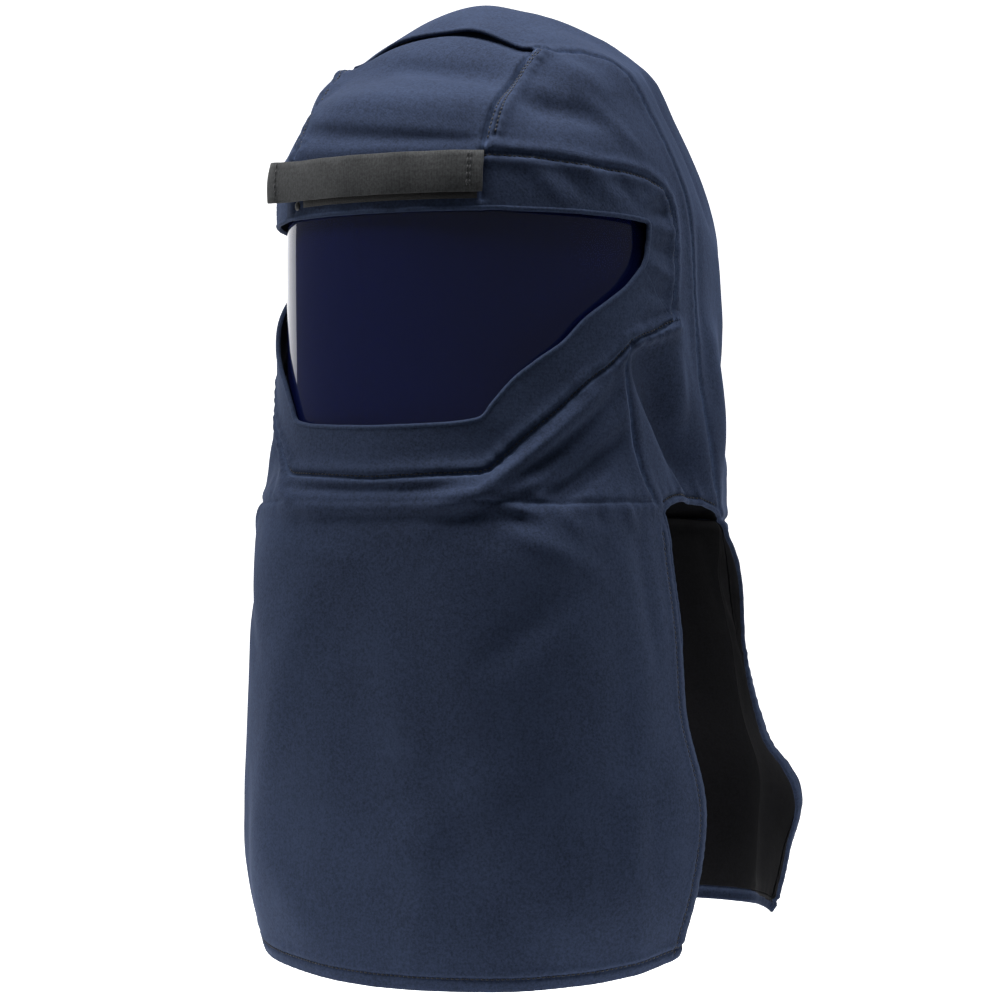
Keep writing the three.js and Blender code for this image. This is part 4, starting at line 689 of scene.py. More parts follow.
def lines_of(made):
    """Adds every seam and row of stitches to the cloth, and keeps the rows that show thread."""
    cloth = made.cloth
    made.stitches = []

    def sew(line, sides=2, **looks):
        for path in (both_sides(line) if sides == 2 else [line]):
            cloth.add_line(path, **looks)
            made.stitches.append(path)

    side = made.side()
    upper, lower = made.upper_facing(), made.lower_facing()
    yoke, bib, flap, back = made.yoke(), made.bib(), made.flap(), made.crown_back()
    # The wear amounts below pale the cloth beside each seam and edge: partly real wear, partly painted
    # highlight
    seam = dict(groove=2.0, groove_wide=2.0, puff=0.9, puff_wide=10, pucker=0.25, pitch=14, wear=0.75)
    for line in both_sides(np.concatenate([made.crown_seam, made.band_seam[1:]])[::3]):
        cloth.add_line(line, **seam)
    for line in both_sides(made.rear_seam[::5]) + both_sides(made.side_seam[::3]):
        cloth.add_line(line, **{**seam, "wear": 1.0})
    third = yoke.shape[1] // 3
    for line in both_sides(yoke[-1][:third:4]):
        cloth.add_line(line, groove=1.0, groove_wide=2.2, puff=0.6, pucker=0.5, pitch=13, wear=0.2)
    faint = dict(groove=0.35, groove_wide=2.4, puff=0.1, pucker=0.1, pitch=16, wear=0)
    cloth.add_line(yoke[-1][third:-third:5], **faint)
    cloth.add_line(back[-1][::4], **seam)
    faced = dict(groove=1.3, groove_wide=1.5, puff=0.9, puff_wide=8, pucker=0.5)
    for line in both_sides(made.upper_edge[::3]):
        cloth.add_line(line, **faced, pitch=11, wear=0.6)
    cloth.add_line(made.lower_edge[::3], **faced, pitch=12, wear=0.5)
    quilted = dict(groove=1.25, groove_wide=1.3, puff=0.8, puff_wide=8, pucker=0.45, pitch=9, wear=0)
    sew(inset(cloth, upper, 1.8)[::3], **quilted)
    sew(inset(cloth, lower, 1.8)[::3], sides=1, **quilted)
    hemmed = dict(groove=1.1, groove_wide=1.4, puff=0.6, puff_wide=6, pucker=0.35, pitch=9, wear=0)
    sew(inset(cloth, bib[::-1], 8)[::3], sides=1, **hemmed)
    sew(inset(cloth, np.swapaxes(bib, 0, 1), 8)[DETAIL + 4::3], **hemmed)
    sew(inset(cloth, flap[::-1], 8)[::3], sides=1, **hemmed)
    sew(mirrored(inset(cloth, np.swapaxes(flap, 0, 1)[::-1], 8))[4::3], **hemmed)
    sew(inset(cloth, np.swapaxes(side, 0, 1), 2.5)[:CROWN_STEPS * DETAIL:3], **quilted)
    sew(inset(cloth, np.swapaxes(side, 0, 1), 8.5)[2:CROWN_STEPS * DETAIL - 2:3], **quilted)
    sew(inset(cloth, side[::-1], 5)[3:-3:2], **quilted)
    return made


# Meshes

def name_material(obj, *materials):
    for material in materials:
        obj.data.materials.append(material)


def make_object(name, vertices, faces, material_numbers=None, uvs=None, wear=None):
    mesh = bpy.data.meshes.new(name)
    mesh.from_pydata([tuple(v) for v in np.asarray(vertices) * MM], [], [tuple(f) for f in faces])
    if uvs is not None:
        layer = mesh.uv_layers.new(name="cloth")
        corners = np.empty(len(mesh.loops), dtype=np.int32)
        mesh.loops.foreach_get("vertex_index", corners)
        layer.data.foreach_set("uv", (np.asarray(uvs)[corners] * MM).ravel())
    if wear is not None:
        attribute = mesh.attributes.new("wear", "FLOAT", "POINT")
        attribute.data.foreach_set("value", np.asarray(wear, dtype=np.float32))
    if material_numbers is not None:
        mesh.polygons.foreach_set("material_index", np.asarray(material_numbers, dtype=np.int32))
    mesh.polygons.foreach_set("use_smooth", [True] * len(mesh.polygons))
    mesh.validate()
    mesh.update()
    obj = bpy.data.objects.new(name, mesh)
    bpy.context.scene.collection.objects.link(obj)
    return obj


def grid_lengths(places):
    """Lengths along the rows and down the columns of a grid, from its middle column and first row."""
    across = np.linalg.norm(np.diff(places, axis=1), axis=-1)
    down = np.linalg.norm(np.diff(places, axis=0), axis=-1)
    u = np.concatenate([np.zeros((len(places), 1)), np.cumsum(across, axis=1)], axis=1)
    v = np.concatenate([np.zeros((1, places.shape[1])), np.cumsum(down, axis=0)])
    middle = places.shape[1] // 2
    return np.stack([u - u[:, middle:middle + 1], v], axis=-1)


def ring_faces(rings, closed=False):
    """Quads between rings of vertex numbers, all of one length."""
    rings = list(rings)
    after = rings[1:] + rings[:1] if closed else rings[1:]
    return [
        (ring[k], following[k], following[k + 1 - len(ring)], ring[k + 1 - len(ring)])
        for ring, following in zip(rings, after) for k in range(len(ring))
    ]


def sheet(name, outer, normal, thickness, wear, face_material, inner_material, round_out=0.45):
    """Closed sheet of cloth under a grid of outer places, with its edges rolled over."""
    rows, columns = outer.shape[:2]
    inner = outer - normal * thickness
    uv = grid_lengths(outer)
    count = rows * columns
    index = np.arange(count).reshape(rows, columns)
    corners = [index[:-1, :-1], index[1:, :-1], index[1:, 1:], index[:-1, 1:]]
    quads = np.stack(corners, axis=-1).reshape(-1, 4)
    rim = np.concatenate([index[0, :-1], index[:-1, -1], index[-1, :0:-1], index[:0:-1, 0]])
    flat_outer, flat_inner = outer.reshape(-1, 3), inner.reshape(-1, 3)
    along = np.roll(flat_outer[rim], -1, axis=0) - np.roll(flat_outer[rim], 1, axis=0)
    away = np.cross(along, normal.reshape(-1, 3)[rim])
    away /= np.linalg.norm(away, axis=1, keepdims=True) + 1e-9
    flip = np.sign(np.mean(np.sum(away * (flat_outer[rim] - flat_outer.mean(axis=0)), axis=1)))
    middle = (flat_outer[rim] + flat_inner[rim]) / 2 + away * flip * thickness * round_out
    rolled = flat_outer[rim] * 0.86 + flat_inner[rim] * 0.14 + away * flip * thickness * round_out * 0.7
    tucked = flat_outer[rim] * 0.14 + flat_inner[rim] * 0.86 + away * flip * thickness * round_out * 0.7
    vertices = np.concatenate([flat_outer, flat_inner, rolled, middle, tucked])
    faces = quads.tolist() + (quads[:, ::-1] + count).tolist()
    numbers = [0] * len(quads) + [1] * len(quads)
    size = len(rim)
    rings = [rim, 2 * count + np.arange(size), 2 * count + size + np.arange(size),
             2 * count + 2 * size + np.arange(size), rim + count]
    faces += ring_faces(rings)
    numbers += [0] * (len(faces) - len(numbers))
    flat_uv = uv.reshape(-1, 2)
    uvs = np.concatenate([flat_uv, flat_uv, flat_uv[rim], flat_uv[rim], flat_uv[rim]])
    # Face and rolled edge carry the seams' paleness, partly wear and partly painted highlight; the inside face
    # none
    flat_wear_and_highlight = wear.reshape(-1)
    vertex_wear_and_highlight = np.concatenate([flat_wear_and_highlight, flat_wear_and_highlight * 0, flat_wear_and_highlight[rim], flat_wear_and_highlight[rim], flat_wear_and_highlight[rim] * 0.5])
    obj = make_object(name, vertices, faces, numbers, uvs, vertex_wear_and_highlight)
    fix_winding(obj)
    name_material(obj, face_material, inner_material)
    return obj


def fix_winding(obj):
    """Turns the faces of a closed mesh so that they point out."""
    mesh = bmesh.new()
    mesh.from_mesh(obj.data)
    bmesh.ops.recalc_face_normals(mesh, faces=mesh.faces)
    mesh.to_mesh(obj.data)
    mesh.free()


def stand_for(obj, node):
    """Puts a piece in place of its solid, on the hood's one body."""
    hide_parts(node)
    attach(obj, BODY)


def panel(name, grid, node, materials, lift=None, thickness=None, drop=0):
    """Builds one panel of cloth in place of its solid."""
    made = pattern()
    cloth = made.cloth
    outer, normal, wear = cloth.dressed(grid, lift)
    if drop:
        outer = outer - normal * drop
        wear = wear * 0
    obj = sheet(name, outer, normal, thickness or cloth.sizes.wall, wear, *materials)
    stand_for(obj, node)
    return obj


def hang_lining(name, grid, node, material):
    """Thin lining behind a hanging panel, three rows short of its hem and its sides."""
    short = grid[:-3, 3:-3]
    panel(name, short, node, (material, material), thickness=1, drop=3.5)


def tube(name, path, normals, radius, flat, closed, material, node, sides=10):
    """Rolled binding along a path, a little flatter than it is wide."""
    count = len(path)
    if closed:
        along = np.roll(path, -1, axis=0) - np.roll(path, 1, axis=0)
    else:
        along = np.gradient(path, axis=0)
    along /= np.linalg.norm(along, axis=1, keepdims=True)
    side = np.cross(along, normals)
    side /= np.linalg.norm(side, axis=1, keepdims=True)
    out = np.cross(side, along)
    turn = np.linspace(0, 2 * np.pi, sides, endpoint=False)
    lengths = np.concatenate([[0], np.cumsum(np.linalg.norm(np.diff(path, axis=0), axis=1))])
    ends = np.minimum(lengths, lengths[-1] - lengths)
    radii = radius * (np.ones(count) if closed else np.sqrt(np.clip(ends / 9, 0.04, 1)))[:, None, None]
    rings = path[:, None] + radii * (
        out[:, None] * np.cos(turn)[None, :, None] * flat + side[:, None] * np.sin(turn)[None, :, None]
    )
    vertices = rings.reshape(-1, 3)
    faces = ring_faces((range(i * sides, (i + 1) * sides) for i in range(count)), closed)
    if not closed:
        faces.append(tuple(range(sides)))
        faces.append(tuple(range((count - 1) * sides, count * sides))[::-1])
    uvs = np.stack([np.repeat(lengths, sides), np.tile(turn * radius, count)], axis=1)
    # Outward crest of the roll painted paler: painted highlight, partly wear
    wear = np.tile(np.clip(np.cos(turn), 0, 1) * 0.12, count)
    obj = make_object(name, vertices, faces, None, uvs, wear)
    fix_winding(obj)
    name_material(obj, material)
    stand_for(obj, node)
    return obj


def value_at(length, lengths, values):
    """Place or normal on a path at a length from its start."""
    return np.array([np.interp(length, lengths, v) for v in values.T])


def thread(name, runs, material, pitch=3.5, length=2.5, radius=0.5, lift=0.3):
    """Separate stitches along rows of places, sunk into the cloth at both ends."""
    vertices, faces = [], []
    shape = [(-0.5, 0.35, -0.5), (-0.32, 0.9, 0.1), (0, 1, 0.35), (0.32, 0.9, 0.1), (0.5, 0.35, -0.5)]
    sides = 5
    for path, normals in runs:
        lengths = np.concatenate([[0], np.cumsum(np.linalg.norm(np.diff(path, axis=0), axis=1))])
        for start in np.arange(0.5, lengths[-1] - length, pitch):
            ends = [value_at(start, lengths, path), value_at(start + length, lengths, path)]
            up = value_at(start + length / 2, lengths, normals)
            along = ends[1] - ends[0]
            reach = np.linalg.norm(along)
            along /= reach
            side = np.cross(along, up)
            side /= np.linalg.norm(side)
            up = np.cross(side, along)
            base = len(vertices)
            middle = (ends[0] + ends[1]) / 2
            for share, wide, high in shape:
                centre = middle + along * share * reach + up * (lift + high * radius)
                for k in range(sides):
                    turn = 2 * math.pi * k / sides
                    vertices.append(centre + (side * math.cos(turn) + up * math.sin(turn)) * radius * wide)
            rings = [range(base + i * sides, base + (i + 1) * sides) for i in range(len(shape))]
            faces += ring_faces(rings[::-1])
            faces += [tuple(rings[0])[::-1], tuple(rings[-1])]
    obj = make_object(name, np.array(vertices), faces)
    name_material(obj, material)
    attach(obj, BODY)
    return obj


# Materials. Each starts from the real stuff, and its patterns from a real size in millimetres.

def add_node(tree, kind, settings=None, **inputs):
    """Adds a node with its settings, and sets or links its inputs by name or, as n0 or n1, by number."""
    node = tree.nodes.new(kind)
    for key, value in (settings or {}).items():
        setattr(node, key, value)
    for key, value in inputs.items():
        by_number = key[0] == "n" and key[1:].isdigit()
        socket = node.inputs[int(key[1:]) if by_number else key.replace("_", " ")]
        if isinstance(value, bpy.types.NodeSocket):
            tree.links.new(value, socket)
        else:
            socket.default_value = value
    return node


def new_material(name, roughness, **settings):
    material = bpy.data.materials.new(name)
    material.use_nodes = True
    shader = material.node_tree.nodes["Principled BSDF"]
    shader.inputs["Roughness"].default_value = roughness
    for key, value in settings.items():
        shader.inputs[key.replace("_", " ")].default_value = value
    return material, material.node_tree, shader


def four(colour, factor=1.0):
    """Colour with its alpha, made lighter or darker."""
    return (*(min(1.0, c * factor) for c in colour), 1.0)


def layered(tree, tone, *layers):
    """Lays colours over a tone, each as far as its texture climbs from a low value to a high one."""
    for texture, low, high, most, colour in layers:
        fac = texture.outputs["Fac"]
        amount = add_node(tree, "ShaderNodeMapRange", n0=fac, n1=low, n2=high, n3=0, n4=most).outputs[0]
        mix = add_node(tree, "ShaderNodeMix", {"data_type": "RGBA"}, n0=amount, n6=tone, n7=colour)
        tone = mix.outputs[2]
    return tone


def cloth_material(name, colour, worn_and_lit, pitch, depth, sheen, fleck=0.5):
    """Woven cloth, dyed in the piece: matt, flecked, with faint diagonal ribs and paler edges, partly worn and
    partly painted highlight.

    Real ribs stand 0.5 mm apart on 0.3 mm yarn, too fine to show, so ribs are drawn 1 mm apart and
    flecks of yarn 1.7 and 3.4 mm wide. Faded patches are 55 mm wide, slubs 9 mm.
    """
    material, tree, shader = new_material(
        name, 0.92, Specular_IOR_Level=0.18, Sheen_Weight=sheen, Sheen_Roughness=0.45,
        Sheen_Tint=four(worn_and_lit, 1.6),
    )
    flat = add_node(tree, "ShaderNodeUVMap", {"uv_map": "cloth"}).outputs["UV"]
    solid = add_node(tree, "ShaderNodeTexCoord").outputs["Object"]
    turned = add_node(tree, "ShaderNodeMapping", Vector=flat, Rotation=(0, 0, math.radians(58)))
    rib = add_node(
        tree, "ShaderNodeTexWave", Vector=turned.outputs["Vector"],
        Scale=WAVE_SCALE / (pitch * MM), Distortion=0.7, Detail=2, Detail_Scale=1.5,
    )
    yarn, coarse, faded, slub = (
        add_node(tree, "ShaderNodeTexNoise", Vector=solid, Scale=1 / (wide * MM), Detail=fine, Roughness=rough)
        for wide, fine, rough in ((1.7, 3, 0.75), (3.4, 3, 0.7), (55, 4, 0.55), (9, 3, 0.6))
    )
    streak = add_node(tree, "ShaderNodeMapping", Vector=flat, Scale=(1 / (1.4 * MM), 1 / (16 * MM), 1))
    warp = add_node(tree, "ShaderNodeTexNoise", Vector=streak.outputs["Vector"], Scale=1, Detail=2)
    tone = layered(
        tree, four(colour, 1 - fleck), (yarn, 0.32, 0.7, 1, four(colour, 1 + fleck)),
        (coarse, 0.42, 0.72, 0.6, four(colour, 1.6)), (warp, 0.3, 0.7, 0.35, four(colour, 1.35)),
        (faded, 0.35, 0.7, 0.14, four(worn_and_lit, 0.8)),
    )
    times, plus, colours = {"operation": "MULTIPLY"}, {"operation": "ADD"}, {"data_type": "RGBA"}
    # Paler where the mesh's wear attribute is high, broken up by the yarn: partly wear, partly painted
    # highlight on seams, edges and binding crests
    wear = add_node(tree, "ShaderNodeAttribute", {"attribute_name": "wear"})
    mottled = add_node(tree, "ShaderNodeMapRange", n0=yarn.outputs["Fac"], n1=0.3, n2=0.6, n3=0.35, n4=1)
    paled = add_node(tree, "ShaderNodeMath", times, n0=wear.outputs["Fac"], n1=mottled.outputs[0])
    tone = add_node(tree, "ShaderNodeMix", colours, n0=paled.outputs[0], n6=tone, n7=four(worn_and_lit))
    tree.links.new(tone.outputs[2], shader.inputs["Base Color"])
    ribbed = add_node(tree, "ShaderNodeMapRange", n0=rib.outputs["Fac"], n1=0, n2=1, n3=0, n4=0.15)
    height = add_node(tree, "ShaderNodeMath", plus, n0=ribbed.outputs[0], n1=yarn.outputs["Fac"])
    bump = add_node(tree, "ShaderNodeBump", Strength=0.6, Distance=depth * MM, Height=height.outputs[0])
    soft = add_node(
        tree, "ShaderNodeBump", Strength=0.5, Distance=0.9 * MM, Height=slub.outputs["Fac"],
        Normal=bump.outputs["Normal"],
    )
    tree.links.new(soft.outputs["Normal"], shader.inputs["Normal"])
    return material


def webbing_material(colour):
    """Polyester webbing, woven: close cross ribs with a soft gloss, painted lighter on their crests and darker
    in their grooves, and pale flecks standing for glints of the yarn.

    Real ribs stand 0.6 mm apart, too fine to show, so they are drawn at 1 mm and flecks at 2 mm.
    """
    material, tree, shader = new_material(
        "webbing_woven_polyester", 0.74, Specular_IOR_Level=0.25, Sheen_Weight=0.1
    )
    flat = add_node(tree, "ShaderNodeUVMap", {"uv_map": "cloth"}).outputs["UV"]
    solid = add_node(tree, "ShaderNodeTexCoord").outputs["Object"]
    turned = add_node(tree, "ShaderNodeMapping", Vector=flat, Rotation=(0, 0, math.radians(90)))
    rib, cord = (
        add_node(tree, "ShaderNodeTexWave", Vector=way, Scale=WAVE_SCALE / wide, Distortion=bent, Detail=fine)
        for way, wide, bent, fine in ((flat, 1.0 * MM, 0.6, 2), (turned.outputs["Vector"], 2.6 * MM, 0.4, 1))
    )
    yarn = add_node(tree, "ShaderNodeTexNoise", Vector=solid, Scale=1 / (2.0 * MM), Detail=4, Roughness=0.8)
    # Rib crests painted lighter in step with the bump below, and pale yarn flecks: painted highlight and
    # shade, and painted glints
    tone = layered(
        tree, four(colour, 0.9), (rib, 0.1, 0.9, 1, four(colour, 1.15)),
        (yarn, 0.4, 0.66, 0.8, four(colour, 2.4)),
    )
    tree.links.new(tone, shader.inputs["Base Color"])
    ribbed, corded = (
        add_node(tree, "ShaderNodeMapRange", n0=wave.outputs["Fac"], n1=0, n2=1, n3=0, n4=most).outputs[0]
        for wave, most in ((rib, 0.35), (cord, 0.3))
    )
    height = add_node(tree, "ShaderNodeMath", {"operation": "ADD"}, n0=ribbed, n1=corded)
    bump = add_node(tree, "ShaderNodeBump", Strength=0.6, Distance=0.15 * MM, Height=height.outputs[0])
    tree.links.new(bump.outputs["Normal"], shader.inputs["Normal"])
    return material


def plain_material(name, colour, roughness, grain, depth, **settings):
    """One even stuff, moulded or spun, with a fine grain in its colour and surface."""
    material, tree, shader = new_material(name, roughness, **settings)
    solid = add_node(tree, "ShaderNodeTexCoord").outputs["Object"]
    noise = add_node(tree, "ShaderNodeTexNoise", Vector=solid, Scale=1 / (grain * MM), Detail=3)
    tone = layered(tree, four(colour, 0.75), (noise, 0, 1, 1, four(colour, 1.3)))
    tree.links.new(tone, shader.inputs["Base Color"])
    bump = add_node(tree, "ShaderNodeBump", Strength=0.6, Distance=depth * MM, Height=noise.outputs["Fac"])
    tree.links.new(bump.outputs["Normal"], shader.inputs["Normal"])
    return material


def shield_material(colour):
    """Tinted polycarbonate, drawn as sheet and formed: clear, glossy, with faint haze in 40 mm patches."""
    name = "polycarbonate_tinted_sheet"
    material, tree, shader = new_material(name, 0.03, IOR=1.58, Transmission_Weight=0.72)
    solid = add_node(tree, "ShaderNodeTexCoord").outputs["Object"]
    noise = add_node(tree, "ShaderNodeTexNoise", Vector=solid, Scale=1 / (40 * MM), Detail=5, Roughness=0.7)
    haze = add_node(tree, "ShaderNodeMapRange", n0=noise.outputs["Fac"], n1=0.35, n2=0.75, n3=0.02, n4=0.07)
    tree.links.new(haze.outputs[0], shader.inputs["Roughness"])
    tone = layered(tree, four(colour, 0.92), (noise, 0, 1, 1, four(colour, 1.08)))
    tree.links.new(tone, shader.inputs["Base Color"])
    return material


def materials():
    """All materials of the hood, made again only when a colour has changed."""
    c = bpy.context.scene.hood_colours
    values = [tuple(getattr(c, name)) for name in HoodColours.__annotations__]
    if MADE.get("colours") != values:
        MADE["colours"] = values
        MADE["materials"] = {
            # Heavy woven twill: matt navy with a dusty bloom at grazing angles, pale on its seams and edges
            # from wear and painted highlight
            "twill": cloth_material("cotton_blend_twill_woven", c.twill, c.twill_worn_and_lit, 1.0, 0.22, 0.28),
            # Plain woven backing of the quilt: near black, almost no bloom
            "inner": cloth_material("quilt_backing_woven", c.inner, c.lining, 1.1, 0.16, 0.06),
            # Fine plain-weave lining: black and smooth
            "lining": cloth_material("lining_plain_weave", c.lining, c.inner, 0.9, 0.1, 0.06),
            "webbing": webbing_material(c.webbing),
            # Moulded nylon hooks 1.3 mm apart: a dull, rough black, made darker still as painted shade under
            # the strap
            "hooks": plain_material("nylon_hook_tape_moulded", c.hooks, 0.7, 1.3, 0.9),
            # Spun aramid thread: matt, a little fuzzy, darker than the cloth
            "thread": plain_material("thread_spun_aramid", c.thread, 0.7, 0.5, 0.2, Sheen_Weight=0.2),
            # Moulded nylon: smooth with a soft highlight
            "stud": plain_material("nylon_stud_moulded", c.stud, 0.42, 0.8, 0.05, IOR=1.5),
            "shield": shield_material(c.shield),
        }
    return MADE["materials"]


class HOOD_OT_crown(bpy.types.Operator):
    """Front panel of the crown and the panel that runs over the crown to the back"""

    bl_idname = "hood.crown"
    bl_label = "Crown"

    def execute(self, context):
        made, stuff = pattern(), materials()
        sizes = made.cloth.sizes
        free_edge = made.vent_middle()

        def behind(p):
            return free_edge - p[..., 1]

        def dip(p):
            return -smoothstep(behind(p), -13, 0) * (sizes.wall + 0.9)

        def gape(p):
            fade = 1 - smoothstep(behind(p), 0, 40)
            across = p[..., 0] / made.vent_corner[0]
            bells = sum(share * np.exp(-((across - at) / wide) ** 2) for at, wide, share in VENT_GAPES)
            return fade * 4 * bells * np.maximum(0, 1 - across**2)

        twill = (stuff["twill"], stuff["inner"])
        front, back = made.crown_front(), made.crown_back()
        panel("crown_front_cloth", bunched(front, (1, 3), (3, 3)), "crown_front_panel", twill, dip)
        panel("crown_back_cloth", bunched(back, (3, 2), (2, 2), 3), "crown_back_panel", twill, gape)
        return {"FINISHED"}


class HOOD_OT_sides(bpy.types.Operator):
    """Side panels between the crown seams, the facings and the rear seams"""

    bl_idname = "hood.sides"
    bl_label = "Side panels"

    def execute(self, context):
        made, stuff = pattern(), materials()
        grid = bunched(made.side(), (0, 4), (5, 2))
        twill = (stuff["twill"], stuff["inner"])
        panel("side_cloth_left", grid, "side_panel_left", twill)
        panel("side_cloth_right", mirror_grid(grid), "side_panel_right", twill)
        return {"FINISHED"}


class HOOD_OT_facings(bpy.types.Operator):
    """Bands of cloth round the window"""

    bl_idname = "hood.facings"
    bl_label = "Window facings"

    def execute(self, context):
        made, stuff = pattern(), materials()
        twill = (stuff["twill"], stuff["inner"])
        upper = bunched(made.upper_facing(), (4, 2))
        panel("upper_facing_cloth_left", upper, "upper_facing_left", twill)
        panel("upper_facing_cloth_right", mirror_grid(upper), "upper_facing_right", twill)
        panel("lower_facing_cloth", bunched(made.lower_facing(), (4, 2)), "lower_facing", twill)
        return {"FINISHED"}


class HOOD_OT_front(bpy.types.Operator):
    """Yoke and bib with the bib's lining"""

    bl_idname = "hood.front"
    bl_label = "Yoke and bib"

    def execute(self, context):
        made, stuff = pattern(), materials()
        yoke, bib, twill = made.yoke(), made.bib(), stuff["twill"]
        panel("front_yoke_cloth", bunched(yoke, (3, 3), (3, 3)), "front_yoke", (twill, stuff["inner"]))
        panel("front_bib_cloth", bunched(bib, (2, 5), (5, 5)), "front_bib", (twill, twill))
        hang_lining("front_lining_cloth", bib, "front_lining", stuff["lining"])
        return {"FINISHED"}


class HOOD_OT_back(bpy.types.Operator):
    """Back flap with its lining"""

    bl_idname = "hood.back"
    bl_label = "Back flap"

    def execute(self, context):
        made, stuff = pattern(), materials()
        flap = made.flap()
        cloths = (stuff["twill"], stuff["lining"])
        obj = panel("back_flap_cloth", bunched(flap, (2, 5), (5, 5)), "back_flap", cloths)
        hem = min(v.co.z for v in obj.data.vertices) + TURNED_HEM * MM
        for face in obj.data.polygons:
            if face.center.z < hem:
                face.material_index = 0
        hang_lining("back_lining_cloth", flap, "back_lining", stuff["lining"])
        return {"FINISHED"}


class HOOD_OT_bindings(bpy.types.Operator):
    """Rolled bindings round the window and over the shoulder slits"""

    bl_idname = "hood.bindings"
    bl_label = "Bindings"

    def execute(self, context):
        made, stuff = pattern(), materials()
        cloth = made.cloth
        brow = made.crown_front()[-1]
        left = np.concatenate([made.upper_window[1:], made.lower_window[1:len(made.lower_window) // 2 + 1]])
        ring = np.concatenate([brow, left, mirrored(left)[::-1][1:-1]])
        self.roll("window_binding_cloth", ring, True, "window_binding", stuff)
        side = made.side()
        sizes = cloth.sizes
        down_bib = made.bib()[DETAIL:, 0]
        down_flap = made.flap()[:, 0]

        def keep(line, end):
            return line[cloth.column(0, station_of(line)) < end]

        bib_reach, flap_reach = sizes.slit_front + 100, sizes.back_seam + 44
        arch = np.concatenate([keep(down_bib, bib_reach)[::-1], side[-1][1:], keep(down_flap, flap_reach)[1:]])
        self.roll("slit_binding_cloth_left", arch, False, "slit_binding_left", stuff)
        self.roll("slit_binding_cloth_right", mirrored(arch), False, "slit_binding_right", stuff)
        return {"FINISHED"}

    def roll(self, name, points, closed, node, stuff):
        """Binding rolled over an edge of the cloth."""
        cloth = pattern().cloth
        places, normals, _ = cloth.dressed(points)
        tube(name, places - normals * 1.0, normals, 1.9, 0.85, closed, stuff["twill"], node)


class HOOD_OT_shield(bpy.types.Operator):
    """Tinted face shield behind the window"""

    bl_idname = "hood.shield"
    bl_label = "Face shield"

    def execute(self, context):
        made, stuff = pattern(), materials()
        cloth = made.cloth
        sizes = cloth.sizes
        degrees = np.linspace(92, -92, 28 * 4 + 1)
        above_window, above_seam = 17, 13
        top = sizes.window_top - above_window
        bottom = cloth.lower_facing_drop(np.abs(degrees)) - above_seam
        grid = np.array([cloth.point(degrees, top + (bottom - top) * u) for u in np.linspace(0, 1, 13)])
        normal = cloth.normal(grid, cloth.smooth)
        aside = smoothstep(np.degrees(np.abs(angle_of(grid))), 30, 56)[..., None]
        outer = cloth.smooth(grid) - normal * (sizes.wall + 1.4 + 3.4 * aside)
        obj = sheet("face_shield_sheet", outer, normal, sizes.shield_wall, np.zeros(outer.shape[:2]),
                    stuff["shield"], stuff["shield"], round_out=0.25)
        stand_for(obj, "face_shield")
        return {"FINISHED"}


